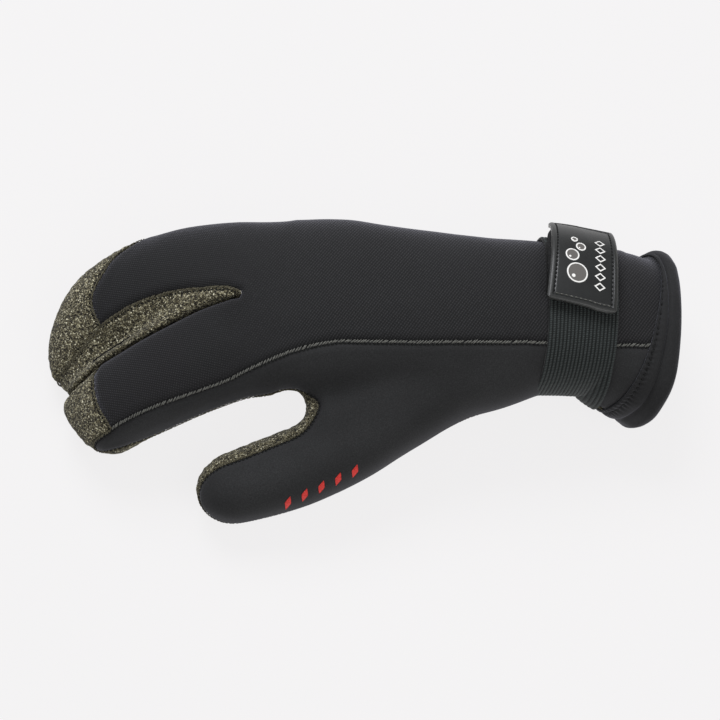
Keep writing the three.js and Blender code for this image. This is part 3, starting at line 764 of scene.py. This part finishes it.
# Strap: ribbed elastic band
STRAP_RIBS, RIB_HEIGHT, STRAP_SHIFT = 19, 0.5, 1
STRAP_COLUMNS, STRAP_SIDES = ((172, 240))


def wrist_strap():
    """The band's points and faces, with how high each point is on its rib; the strap's material
    turns that height into painted shade in the grooves.
    """
    half = STRAP_WIDTH / 2
    w = np.linspace(-half, half, STRAP_COLUMNS)
    angle = np.linspace(0, 2 * math.pi, STRAP_SIDES, endpoint=False)
    a, across = np.meshgrid(angle, w, indexing="ij")
    rib = np.abs(np.sin(math.pi * STRAP_RIBS * (across + half) / STRAP_WIDTH)) ** 0.8
    top = SEAM_GAP + STRAP_THICKNESS - RIB_HEIGHT + RIB_HEIGHT * rib
    top -= 0.7 * np.exp(-(half - np.abs(across)) / 0.35)
    spot = np.stack([np.cos(a) * 36, np.sin(a) * 36, across], -1).reshape(-1, 3)
    wave = fabric_noise(spot, 21, 8).reshape(a.shape)
    place = across + STRAP_SHIFT + 0.35 * wave
    verts, faces = shell_mesh(band_points(a, place, top + 0.15 * wave),
                              band_points(a, place, np.full(a.shape, SEAM_GAP)), band=True)
    return verts, faces, np.concatenate([rib.ravel(), np.zeros(rib.size)])


# Patches on the back of the wrist: a grid by length round the wrist and by distance across
def wrist_patch(inner, start, length, width, offset, rows, columns, corner_radius):
    """Angles, distances across and lengths round the wrist of a patch with round corners."""
    w = np.linspace(-width / 2, width / 2, columns) + offset
    probe = np.linspace(0.02, math.pi * 0.8, 220)
    a, across = np.meshgrid(probe, w, indexing="ij")
    p = band_points(a, across, np.full(a.shape, inner))
    reach = p[..., 1] + LABEL_SLANT * (p[..., 0] - strap_centre[0])
    steps = np.linalg.norm(np.diff(p, axis=0), axis=-1)
    run = np.vstack([np.zeros(columns), np.cumsum(steps, axis=0)])
    near, far = np.empty(columns), np.empty(columns)
    for j in range(columns):
        order = np.argsort(reach[:, j])
        near[j], far[j] = np.interp((start, start + length), reach[order, j], run[order, j])
    straight = np.polyval(np.polyfit(w, np.abs(near - far), 1), w)
    along = np.linspace(0, 1, rows)[:, None] * straight
    angles = np.stack([np.interp(near[j] - along[:, j], run[:, j], probe)
                       for j in range(columns)], 1)
    short = np.maximum(corner_radius - np.minimum(along, straight - along), 0)
    draw = corner_radius - np.sqrt(np.maximum(corner_radius**2 - short**2, 0))
    return angles, offset + (w - offset) * (1 - draw / (width / 2)), along


label_inner = SEAM_GAP + STRAP_THICKNESS + SEAM_GAP + TAB_THICKNESS + SEAM_GAP
LABEL_ROWS, LABEL_COLUMNS = ((200, 124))
LABEL_CORNER, BORDER, STITCH_INSET, PLATE_DROP = 2.2, 2.3, 3.3, 0.55
LABEL_NEAR_SHIFT, LABEL_TWIST, LABEL_TAPER, LABEL_LIFT = 4.0, 8.3, 4.75, 2.6
TAB_TAPER, TAB_CORNER = 3.2, 2.0


def placed(across, t):
    """The label lies a little askew and narrows towards its far end."""
    narrow = LABEL_TAPER * t * (0.5 - across / STRAP_WIDTH)
    return across + narrow + LABEL_NEAR_SHIFT - LABEL_TWIST * t


def lifted(t, across):
    """The stiff plate stands off the wrist at its far end, most at the corner by the fingers."""
    corner_share = 0.1 + 0.9 * smooth_step(across / STRAP_WIDTH + 0.5)
    return LABEL_LIFT * np.clip(t, 0, 1.06) ** 3 * corner_share


label_angle, label_across, label_along = wrist_patch(
    label_inner, LABEL_START, LABEL_LENGTH, STRAP_WIDTH, 0.0, LABEL_ROWS, LABEL_COLUMNS,
    LABEL_CORNER)
label_reach = label_along.max(0, keepdims=True)
label_edge = np.minimum(np.minimum(label_along, label_reach - label_along),
                        STRAP_WIDTH / 2 - np.abs(label_across))
label_share = label_along / label_reach
label_place = placed(label_across, label_share)
label_floor = label_inner + lifted(label_share, label_across)

# The plain motif: rising bubbles with a glint, and a row of outlined lozenges beside them.
# u runs round the wrist in millimetres, v across the strap (towards the fingers).
BUBBLES = [((17.5, 4.2), 5.4), ((28.0, 7.4), 3.5), ((34.6, 2.6), 2.5), ((39.6, 6.2), 1.6)]
LOZENGES = [(12.5 + 5.6 * k, -8.6) for k in range(6)]
LOZENGE_HALF, LOZENGE_HOLE = (2.5, 3.3), (1.4, 2.0)
LINE = 0.75


def glint_of(centre, radius):
    return centre[0] - 0.42 * radius, centre[1] + 0.36 * radius


def motif():
    """Where the label's grid has the pale lines and the grey fill."""
    away = lambda c: np.hypot(label_along - c[0], label_across - c[1])
    lozenge = lambda c, half: (np.abs(label_along - c[0]) / half[0]
                               + np.abs(label_across - c[1]) / half[1]) < 1
    pale = np.zeros(label_along.shape, bool)
    grey = pale.copy()
    for centre, radius in BUBBLES:
        grey |= away(centre) < radius
        pale |= np.abs(away(centre) - radius) < LINE / 2
        pale |= away(glint_of(centre, radius)) < 0.18 * radius
    for centre in LOZENGES:
        pale |= lozenge(centre, LOZENGE_HALF) & ~lozenge(centre, LOZENGE_HOLE)
    return pale, grey


def label_patch():
    pale, grey = motif()
    height = LABEL_THICKNESS - PLATE_DROP * smooth_step((label_edge - BORDER) / 0.7)
    height -= 0.9 * np.exp(-np.maximum(label_edge, 0) / 0.45)
    height -= 0.28 * np.exp(-((label_edge - STITCH_INSET) / 0.4) ** 2)
    height += 0.16 * pale + 0.05 * grey
    return shell_mesh(band_points(label_angle, label_place, label_floor + height),
                      band_points(label_angle, label_place, label_floor))


def strap_tab():
    inner = SEAM_GAP + STRAP_THICKNESS + SEAM_GAP
    width = STRAP_WIDTH + TAB_OVERHANG
    rows, columns = ((120, 84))
    angle, across, along = wrist_patch(inner, LABEL_START + TAB_INSET, LABEL_LENGTH, width,
                                       TAB_OVERHANG / 2, rows, columns, TAB_CORNER)
    share = (along + TAB_INSET) / LABEL_LENGTH
    wide = smooth_step(share / 0.7) * smooth_step((1.05 - share) / 0.3)
    place = placed(across, share) - TAB_TAPER * (1 - wide) * smooth_step(across / 6)
    edge = np.minimum(np.minimum(along, along.max(0, keepdims=True) - along),
                      width / 2 - np.abs(across - TAB_OVERHANG / 2))
    rough = fabric_noise(np.stack([along, across, 0 * along], -1).reshape(-1, 3), 2.2, 11)
    top = inner + TAB_THICKNESS - 0.8 * np.exp(-np.maximum(edge, 0) / 0.5)
    top += 0.12 * rough.reshape(along.shape) - 0.12 + lifted(share, across)
    under = inner - (inner - SEAM_GAP) * smooth_step((place - STRAP_WIDTH / 2 - 0.2) / 0.8)
    return shell_mesh(band_points(angle, place, top), band_points(angle, place, under))


# Stitching
LABEL_STITCH = dict(length=1.5, gap=1.1, radius=0.34, height=0.3)
CUFF_STITCH = dict(length=1.5, gap=1.4, radius=0.42, height=0.35)
NOTCH = dict(length=1.1, gap=1.1, radius=0.42, height=0.3)
RADIAL_CORD = dict(pitch=1.65, reach=0.75, radius=0.4, height=0.85)
GRIP_CORD = dict(pitch=1.7, reach=0.6, radius=0.36, height=0.85)


def on_path(at, run, points):
    return np.stack([np.interp(at, run, points[:, k]) for k in range(3)], 1)


def resampled(points, normals, step):
    """Distances, points and normals at even steps along a path."""
    gaps = np.linalg.norm(np.diff(points, axis=0), axis=1)
    run = np.concatenate([[0], np.cumsum(gaps)])
    t = np.linspace(0, run[-1], max(2, int(round(run[-1] / step)) + 1))
    return t, on_path(t, run, points), on_path(t, run, normals)


def dashes(points, normals, length, gap, radius, height):
    """Short straight threads along a path."""
    t, p, n = resampled(points, normals, 0.5)
    bow = np.sin(np.linspace(0, math.pi, 6)) ** 0.6
    parts = []
    start = gap / 2
    while start + length < t[-1]:
        s = np.linspace(start, start + length, 6)
        up = unit(on_path(s, t, n))
        path = on_path(s, t, p) + up * (height * bow - 0.25)[:, None]
        parts.append(tube_mesh(path, up, radius * (0.55 + 0.45 * bow), 6, 0.7))
        start += length + gap
    return parts


def cord_stitches(points, normals, seed, pitch, reach, radius, height):
    """Slanted stitches, each over the end of the one before, as a sewn cord."""
    t, p, n = resampled(points, normals, 0.4)
    draw = np.random.default_rng(seed)
    u = np.linspace(0, 1, 6)
    bow = np.sin(math.pi * u) ** 0.7
    parts = []
    for k in range(int((t[-1] - pitch) / pitch)):
        start = (k + 0.15 * draw.normal()) * pitch
        s = np.clip(start + 1.5 * pitch * u, 0, t[-1])
        path = on_path(s, t, p)
        up = unit(on_path(s, t, n))
        across = np.cross(up, unit(np.gradient(path, axis=0)))
        side = reach * (2 * u - 1) * (1 + 0.15 * draw.normal())
        path = path + across * side[:, None] + up * (height * (0.25 + 0.75 * bow))[:, None]
        parts.append(tube_mesh(path, up, radius * (0.6 + 0.4 * bow), 5, 0.8))
    return parts


def chain_path(chain):
    points = skin[chain].copy()
    for _ in range(4):
        points[1:-1] = (points[:-2] + 2 * points[1:-1] + points[2:]) / 4
    return points, unit(soft_normal[chain] * 0.5 + normal[chain] * 0.5)


# Materials: every one is worked out from the place on the glove, in millimetres
def linear(r, g, b):
    return tuple(((c / 255 + 0.055) / 1.055) ** 2.4 if c > 10 else c / 255 / 12.92
                 for c in (r, g, b))


class Shade:
    def __init__(self, name, roughness=0.8, **shader_inputs):
        self.material = bpy.data.materials.new(name)
        self.material.use_nodes = True
        self.tree = self.material.node_tree
        self.shader = self.tree.nodes["Principled BSDF"]
        self.shader.inputs["Roughness"].default_value = roughness
        for key, value in shader_inputs.items():
            self.shader.inputs[key.replace("_", " ")].default_value = value
        place = self.tree.nodes.new("ShaderNodeTexCoord")
        self.place = self.vector("MULTIPLY", place.outputs["Object"], (1000, 1000, 1000))

    def put(self, socket, value):
        if isinstance(value, bpy.types.NodeSocket):
            self.tree.links.new(value, socket)
        elif value is not None:
            socket.default_value = (*value, 1) if (
                isinstance(value, tuple) and socket.type == "RGBA") else value

    def vector(self, operation, a, b=None):
        node = self.tree.nodes.new("ShaderNodeVectorMath")
        node.operation = operation
        self.put(node.inputs[0], a)
        self.put(node.inputs[1], b)
        return node.outputs["Value" if operation == "DOT_PRODUCT" else "Vector"]

    def math(self, operation, a, b=None, c=None):
        node = self.tree.nodes.new("ShaderNodeMath")
        node.operation = operation
        for socket, value in zip(node.inputs, (a, b, c)):
            self.put(socket, value)
        return node.outputs[0]

    def times(self, a, b):
        return self.math("MULTIPLY", a, b)

    def plus(self, a, b):
        return self.math("ADD", a, b)

    def fit(self, value, scale, start):
        return self.math("MULTIPLY_ADD", value, scale, start)

    def noise(self, size, detail=2.0, roughness=0.5, stretch=None):
        """Noise with features of about that many millimetres."""
        node = self.tree.nodes.new("ShaderNodeTexNoise")
        place = self.vector("MULTIPLY", self.place, stretch) if stretch else self.place
        self.put(node.inputs["Vector"], place)
        node.inputs["Scale"].default_value = 1 / size
        node.inputs["Detail"].default_value = detail
        node.inputs["Roughness"].default_value = roughness
        return node.outputs["Fac"]

    def cells(self, size, stretch=(1.0, 1.0, 1.0)):
        """Distance to the nearest of many scattered points about that far apart."""
        node = self.tree.nodes.new("ShaderNodeTexVoronoi")
        self.put(node.inputs["Vector"], self.vector("MULTIPLY", self.place, stretch))
        node.inputs["Scale"].default_value = 1 / size
        return node.outputs["Distance"]

    def steps(self, value, low, high, to_low=0.0, to_high=1.0):
        node = self.tree.nodes.new("ShaderNodeMapRange")
        node.interpolation_type = "SMOOTHSTEP"
        for socket, v in zip(node.inputs, (value, low, high, to_low, to_high)):
            self.put(socket, v)
        return node.outputs[0]

    def blend(self, share, a, b):
        node = self.tree.nodes.new("ShaderNodeMix")
        node.data_type = "RGBA"
        self.put(node.inputs[0], share)
        self.put(node.inputs[6], a)
        self.put(node.inputs[7], b)
        return node.outputs[2]

    def ramp(self, value, stops):
        node = self.tree.nodes.new("ShaderNodeValToRGB")
        self.put(node.inputs[0], value)
        while len(node.color_ramp.elements) < len(stops):
            node.color_ramp.elements.new(0.5)
        for element, (at, colour) in zip(node.color_ramp.elements, stops):
            element.position, element.color = at, (*colour, 1)
        return node.outputs[0]

    def wave(self, direction, pitch, drift=None):
        """0 to 1 across parallel ribs of that pitch, square to direction."""
        phase = self.vector("DOT_PRODUCT", self.place,
                            tuple(float(c) * 2 * math.pi / pitch for c in direction))
        if drift is not None:
            phase = self.plus(phase, drift)
        return self.fit(self.math("COSINE", phase), 0.5, 0.5)

    def attribute(self, name):
        node = self.tree.nodes.new("ShaderNodeAttribute")
        node.attribute_name = name
        return node.outputs["Fac"]

    def axis(self, k):
        node = self.tree.nodes.new("ShaderNodeSeparateXYZ")
        self.put(node.inputs[0], self.place)
        return node.outputs[k]

    def done(self, colour, height=None, depth=0.3, strength=1.0, roughness=None):
        """depth is the height of the relief in millimetres."""
        self.put(self.shader.inputs["Base Color"], colour)
        if roughness is not None:
            self.put(self.shader.inputs["Roughness"], roughness)
        if height is not None:
            bump = self.tree.nodes.new("ShaderNodeBump")
            bump.inputs["Strength"].default_value = strength
            bump.inputs["Distance"].default_value = depth * MM
            self.put(bump.inputs["Height"], height)
            self.put(self.shader.inputs["Normal"], bump.outputs[0])
        return self.material


BLUE_SHEEN = (0.84, 0.84, 1.0, 1)
RIB_ANGLE, RIB_PITCH, DASH_PITCH = math.radians(54), 1.38, 1.45
DOTS_FROM, DOTS_TO = -95.0, -25.0


def back_jersey():
    """Ribbed twill over the hand, which turns into a dotted knit towards the tips."""
    m = Shade("back_jersey", 0.8, Sheen_Weight=0.42, Sheen_Roughness=0.35, Sheen_Tint=BLUE_SHEEN,
              Specular_IOR_Level=0.25)
    drift = m.times(m.noise(60, 1.0), 6.0)
    rib = m.wave((-math.sin(RIB_ANGLE), math.cos(RIB_ANGLE), 0.12), RIB_PITCH, drift)
    dash = m.wave((math.cos(RIB_ANGLE), math.sin(RIB_ANGLE), 0.35), DASH_PITCH,
                  m.times(m.noise(3.0, 1.0), 4.0))
    twill = m.times(rib, m.fit(dash, 0.5, 0.5))
    dots = m.times(m.wave((0.25, 1.0, 0.15), 1.25, drift), m.wave((1.0, -0.3, 0.3), 1.3))
    dotted = m.steps(m.axis(0), DOTS_FROM, DOTS_TO, 1.0, 0.0)
    knit = m.plus(m.times(twill, m.math("SUBTRACT", 1.0, dotted)), m.times(dots, dotted))
    fleck = m.noise(0.8, 2.0, 0.6)
    tone = m.plus(knit, m.fit(fleck, 1.1, -0.55))
    colour = m.ramp(tone, [(0.0, linear(18, 18, 19)), (0.4, linear(26, 26, 27)),
                           (0.95, linear(48, 48, 49))])
    worn = m.steps(m.noise(55, 2.0), 0.35, 0.7, 0.0, 0.25)
    colour = m.blend(worn, colour, linear(36, 36, 37))
    return m.done(colour, m.plus(knit, m.times(fleck, 0.35)), 0.22, 0.9)


def smooth_jersey(name, level, sheen):
    m = Shade(name, 0.78, Sheen_Weight=sheen, Sheen_Roughness=0.4, Sheen_Tint=BLUE_SHEEN,
              Specular_IOR_Level=0.25)
    grain = m.noise(0.6, 3.0, 0.6)
    knit = m.times(m.wave((1, 0.1, 0.2), 0.72), m.wave((0.1, 1, 0.5), 0.66))
    tone = m.plus(m.times(grain, 0.8), m.times(m.noise(38, 2.0), 0.3))
    shade = lambda v: linear(v * level, v * level * 1.01, v * level * 1.03)
    colour = m.ramp(tone, [(0.3, shade(22)), (0.55, shade(33)), (0.85, shade(47))])
    return m.done(colour, m.plus(m.times(grain, 0.7), knit), 0.09, 0.7)


def grip_knit():
    """Pale curled threads and specks on a dark ground."""
    m = Shade("grip_knit", 0.92, Sheen_Weight=0.12, Sheen_Roughness=0.5, Specular_IOR_Level=0.2)
    worm = m.noise(1.5, 1.0, 0.5, (0.85, 1.3, 1.1))
    curl = m.steps(m.math("ABSOLUTE", m.math("SUBTRACT", worm, 0.5)), 0.0, 0.08, 1.0, 0.0)
    dark = m.steps(m.noise(1.3, 2.0, 0.6), 0.42, 0.62)
    tone = m.math("SUBTRACT", m.fit(curl, 0.34, 0.3), m.times(dark, 0.26))
    tone = m.plus(tone, m.fit(m.noise(3.4, 2.0), 0.4, -0.2))
    speck = m.steps(m.cells(1.35, (1.0, 0.9, 1.0)), 0.12, 0.34, 1.0, 0.0)
    tone = m.plus(tone, m.times(speck, 0.42))
    colour = m.ramp(tone, [(0.08, linear(24, 21, 13)), (0.34, linear(86, 80, 60)),
                           (0.56, linear(164, 157, 126)), (0.86, linear(255, 252, 228))])
    return m.done(colour, m.plus(m.times(curl, 0.5), m.math("SUBTRACT", 1.0, dark)), 0.6, 1.0)


def strap_elastic():
    m = Shade("strap_elastic", 0.8, Sheen_Weight=0.1, Sheen_Roughness=0.4, Specular_IOR_Level=0.25)
    grain = m.noise(0.7, 2.0, 0.6)
    picks = m.wave((0.12, 1.0, 0.75), 1.15, m.times(m.noise(2.2, 1.0), 5.0))
    # Darker in the grooves between the ribs and lighter on their crests, by the rib height:
    # painted shade and highlight; the picks and grain are the yarn's own texture.
    tone = m.times(m.attribute("rib_groove_shade"), m.fit(picks, 0.65, 0.35))
    tone = m.plus(tone, m.fit(grain, 0.7, -0.35))
    colour = m.ramp(tone, [(0.02, linear(15, 17, 17)), (0.5, linear(33, 37, 37)),
                           (0.95, linear(66, 72, 71))])
    return m.done(colour, m.plus(grain, m.times(picks, 0.5)), 0.2, 0.8)


def hook_tape():
    m = Shade("hook_tape", 0.85, Specular_IOR_Level=0.3)
    hooks = m.cells(1.0)
    colour = m.ramp(hooks, [(0.0, linear(40, 40, 40)), (0.5, linear(16, 16, 17))])
    return m.done(colour, m.math("SUBTRACT", 1.0, hooks), 0.35, 0.9)


def label_rubber():
    m = Shade("label_rubber", 0.42, Specular_IOR_Level=0.45)
    grain = m.noise(0.5, 2.0)
    base = m.ramp(m.fit(grain, 0.3, m.times(m.noise(16, 2.0), 0.6)),
                  [(0.25, linear(22, 23, 23)), (0.7, linear(34, 36, 36))])
    worn = m.times(m.attribute("wear"), m.steps(m.noise(2.5), 0.3, 0.65))
    base = m.blend(worn, base, linear(96, 96, 90))
    base = m.blend(m.attribute("rim"), base, linear(40, 41, 40))
    fill, line = motif_masks(m)
    base = m.blend(fill, base, linear(96, 93, 90))
    base = m.blend(line, base, linear(236, 235, 231))
    return m.done(base, grain, 0.03, 0.6, m.fit(grain, 0.2, 0.3))


def motif_masks(m):
    """The motif's grey fill and pale lines, as shares from 0 to 1."""
    u, v = m.attribute("along"), m.attribute("across")
    from_centre = lambda c: [m.math("ABSOLUTE", m.math("SUBTRACT", axis, at))
                             for axis, at in ((u, c[0]), (v, c[1]))]
    away_from = lambda c: m.math("SQRT", m.plus(*(m.math("POWER", part, 2.0)
                                                  for part in from_centre(c))))
    fill, line = 0.0, 0.0
    for centre, radius in BUBBLES:
        away = away_from(centre)
        fill = m.math("MAXIMUM", fill, m.steps(away, radius - 0.1, radius, 1.0, 0.0))
        band = m.math("ABSOLUTE", m.math("SUBTRACT", away, radius))
        line = m.math("MAXIMUM", line, m.steps(band, LINE / 2 - 0.08, LINE / 2 + 0.08, 1.0, 0.0))
        away = away_from(glint_of(centre, radius))
        line = m.math("MAXIMUM", line, m.steps(away, 0.16 * radius, 0.2 * radius, 1.0, 0.0))
    for centre in LOZENGES:
        shape = m.plus(*(m.math("DIVIDE", part, half)
                         for part, half in zip(from_centre(centre), LOZENGE_HALF)))
        ring = m.math("ABSOLUTE", m.math("SUBTRACT", shape, 0.8))
        line = m.math("MAXIMUM", line, m.steps(ring, 0.14, 0.19, 1.0, 0.0))
    return fill, line


def mottled(name, dark, light, roughness=0.7, specular=0.3, grain=(0.55, 2.0),
            relief=(0.12, 0.8), light_at=0.7):
    """Two tones and a fine relief from one noise, for threads, print and lining."""
    m = Shade(name, roughness, Specular_IOR_Level=specular)
    fleck = m.noise(*grain, 0.6)
    colour = m.ramp(fleck, [(0.3, linear(*dark)), (light_at, linear(*light))])
    return m.done(colour, fleck, *relief)


grip = grip_knit()
cloth = {BACK: back_jersey(), SIDE: smooth_jersey("side_jersey", 1.13, 0.09), GUSSET: grip,
         PALM: grip}
lining = mottled("lining_jersey", (14, 14, 15), (34, 35, 37), 0.9, 0.2, (0.8, 3.0),
                 (0.15, 0.8))
red_print = mottled("red_print", (180, 34, 30), (222, 52, 44), 0.55, 0.35, (0.9, 3.0),
                    (0.04, 0.5), 0.6)
grey_thread = mottled("grey_thread", (54, 54, 52), (122, 122, 116))
olive_thread = mottled("olive_thread", (40, 38, 30), (104, 99, 80))
dark_thread = mottled("dark_thread", (8, 8, 8), (20, 20, 21))

# Pieces
for which in (BACK, SIDE, GUSSET, PALM):
    panel(which, cloth[which], lining)
piece("cuff_binding_cloth", cuff_binding(), smooth_jersey("binding_jersey", 0.92, 0.16),
      "cuff_binding")
verts, faces, groove_shade_per_point = wrist_strap()
strap = piece("wrist_strap_elastic", (verts, faces), strap_elastic(),
              "wrist_strap")
# Each point's rib height goes to the strap's material as painted shade for the grooves.
point_values(strap, "rib_groove_shade", groove_shade_per_point)
piece("strap_tab_hooks", strap_tab(), hook_tape(), "strap_tab")
plate = piece("label_patch_plate", label_patch(), label_rubber(), "label_patch")
for name, grid in (("along", label_along), ("across", label_across),
                   ("wear", np.exp(-np.maximum(label_edge, 0) / 0.5)),
                   ("rim", smooth_step((BORDER - label_edge) / 0.6))):
    point_values(plate, name, np.concatenate([grid.ravel(), np.zeros(grid.size)]))


def label_stitches():
    """Dashes in the groove inside the border: three sides, and apart from them the one nearest the
    thumb, so the same thread can take a painted shaded tone and a painted lit tone.
    """
    upper = band_points(label_angle, label_place, label_floor + LABEL_THICKNESS - PLATE_DROP)
    up = unit(np.cross(np.gradient(upper, axis=1), np.gradient(upper, axis=0)))
    up *= np.sign(up[LABEL_ROWS // 2, LABEL_COLUMNS // 2, 2])
    w = np.linspace(-STRAP_WIDTH / 2, STRAP_WIDTH / 2, LABEL_COLUMNS)
    left, right = (int(np.argmin(np.abs(w + side * (STRAP_WIDTH / 2 - STITCH_INSET))))
                   for side in (1, -1))
    inset = int(round(STITCH_INSET / label_reach.mean() * LABEL_ROWS))
    down, over = np.arange(inset, LABEL_ROWS - inset), np.arange(left, right + 1)
    lines = [(down, left), (down, right), (LABEL_ROWS - 1 - inset, over), (inset, over)]
    stitched = [dashes(upper[i, j], up[i, j], **LABEL_STITCH) for i, j in lines]
    return join_meshes(sum(stitched[:3], [])), join_meshes(stitched[3])


# The same thread in two tones: near black on the three far sides as painted shade, pale grey on
# the row nearest the thumb as painted light.
shaded_label_stitches, lit_label_stitches = label_stitches()
piece("label_stitching", shaded_label_stitches, dark_thread)
piece("label_stitching_near_lit", lit_label_stitches, grey_thread)

# Seam threads, with a row of dark notches on the thumb's side of each seam but the one between
# gusset and palm
SHORTEST_SEAM, CORD_SINK, NOTCH_OFFSET, NOTCH_SINK = 12, 0.5, 1.35, 0.15
radial_parts, grip_parts, notch_parts = [], [], []
for pair in ((BACK, SIDE), (BACK, PALM), (BACK, GUSSET), (SIDE, PALM), (GUSSET, PALM)):
    cord, store = (RADIAL_CORD, radial_parts) if pair == (BACK, SIDE) else (GRIP_CORD, grip_parts)
    for k, chain in enumerate(seam_chains(*pair)):
        if len(chain) < SHORTEST_SEAM:
            continue
        path, up = chain_path(chain)
        store += cord_stitches(path - CORD_SINK * up, up, k, **cord)
        if pair != (GUSSET, PALM):
            beside = unit(np.cross(up, unit(np.gradient(path, axis=0))))
            beside *= np.sign(-beside[:, 1].mean()) or 1
            notch_parts += dashes(path + NOTCH_OFFSET * beside - NOTCH_SINK * up, up, **NOTCH)
piece("radial_seam_thread", join_meshes(radial_parts), grey_thread)
piece("grip_seam_thread", join_meshes(grip_parts), olive_thread)
piece("seam_notches", join_meshes(notch_parts), dark_thread)


def cuff_stitches(steps=600, height=1.35):
    """Stitching round the cuff binding's inner edge, apart from where the cuff rests."""
    angle = np.linspace(0, 2 * math.pi, steps)
    at = np.full(steps, CUFF_SEAM_AT)
    ring = rear_tube.ring(at, angle, height)
    up = unit(rear_tube.ring(at, angle, height + 1) - ring)
    order = np.roll(np.arange(steps), -int(np.argmin(ring[:, 2])))
    order = order[ring[order, 2] > floor_level + 1.5]
    return join_meshes(dashes(ring[order], up[order], **CUFF_STITCH))


piece("cuff_stitching", cuff_stitches(), dark_thread)

# A plain row of slanted lozenges printed on the thumb, placed by pixels of the frame
PRINT_FROM, PRINT_TO, PRINT_COUNT = np.array([288, 503]), np.array([355, 471]), 5
PRINT_HALF_WIDTH, PRINT_HALF_HEIGHT, PRINT_SLANT, PRINT_TILT = 3.1, 6.6, 0.35, 0.1
# how far out each ring of a lozenge lies, and how far it stands off the cloth
PRINT_RINGS = ((0.0, 0.22), (0.35, 0.22), (0.7, 0.22), (1.0, 0.1))
PRINT_SIDES, PRINT_SUNK = 28, 0.35


def thumb_print():
    turn = np.linspace(0, 2 * math.pi, PRINT_SIDES, endpoint=False)
    soft = (np.abs(np.cos(turn)) + np.abs(np.sin(turn))) ** 0.8
    du = PRINT_HALF_WIDTH * np.cos(turn) / soft
    dv = PRINT_HALF_HEIGHT * np.sin(turn) / soft
    count = len(PRINT_RINGS) * PRINT_SIDES
    grid = grid_faces(len(PRINT_RINGS), PRINT_SIDES, wrap_columns=True)
    faces = [f[::-1] for f in grid] + [tuple(i + count for i in f) for f in grid]
    rim = np.arange(count - PRINT_SIDES, count)
    faces += [(i, j, j + count, i + count) for i, j in zip(rim, np.roll(rim, -1))]
    parts = []
    for k in range(PRINT_COUNT):
        px, py = PRINT_FROM + k / (PRINT_COUNT - 1) * (PRINT_TO - PRINT_FROM)
        outer, inner = [], []
        for share, lift in PRINT_RINGS:
            for u, v in zip(du * share, dv * share):
                p, n = seen_at(px + u + PRINT_SLANT * v, py - v + PRINT_TILT * u)
                outer.append(p + n * lift)
                inner.append(p - n * PRINT_SUNK)
        parts.append((np.array(outer + inner), faces))
    return join_meshes(parts)


piece("thumb_print", thumb_print(), red_print)

# Floor and soft light
FLOOR_SIZE, FLOOR_GLOW, WORLD_LIGHT = 60, 0.838, 0.32
GLOVE_MIDDLE = (0, 0, 0.04)
floor_mesh = bpy.data.meshes.new("floor")
floor_mesh.from_pydata([(x * FLOOR_SIZE, y * FLOOR_SIZE, 0) for x, y in
                        ((-1, -1), (1, -1), (1, 1), (-1, 1))], [], [(0, 1, 2, 3)])
floor = add_object("floor", floor_mesh)
floor_shade = Shade("floor_paper", 0.95, Emission_Strength=FLOOR_GLOW,
                    Emission_Color=(0.985, 0.975, 0.98, 1), Specular_IOR_Level=0.1)
paper = floor_shade.ramp(floor_shade.noise(400), [(0.3, (0.068, 0.067, 0.067)),
                                                  (0.7, (0.072, 0.071, 0.071))])
floor_mesh.materials.append(floor_shade.done(paper))


def area_light(name, place, size, power, colour=(1, 1, 1)):
    data = bpy.data.lights.new(name, "AREA")
    data.shape, data.size, data.energy, data.color = "DISK", size, power, colour
    lamp = add_object(name, data)
    lamp.location = place
    towards = Vector(GLOVE_MIDDLE) - Vector(place)
    lamp.rotation_euler = towards.to_track_quat("-Z", "Y").to_euler()


area_light("key", (-0.3, 1.1, 1.5), 1.1, 30, (0.95, 0.96, 1.0))
area_light("fill", (0.7, -0.9, 1.3), 1.2, 10)
world = bpy.data.worlds.new("studio")
world.use_nodes = True
sky = world.node_tree.nodes["Background"]
sky.inputs["Color"].default_value = (1, 1, 1, 1)
sky.inputs["Strength"].default_value = WORLD_LIGHT
bpy.context.scene.world = world
bpy.context.scene.view_settings.view_transform = "Standard"
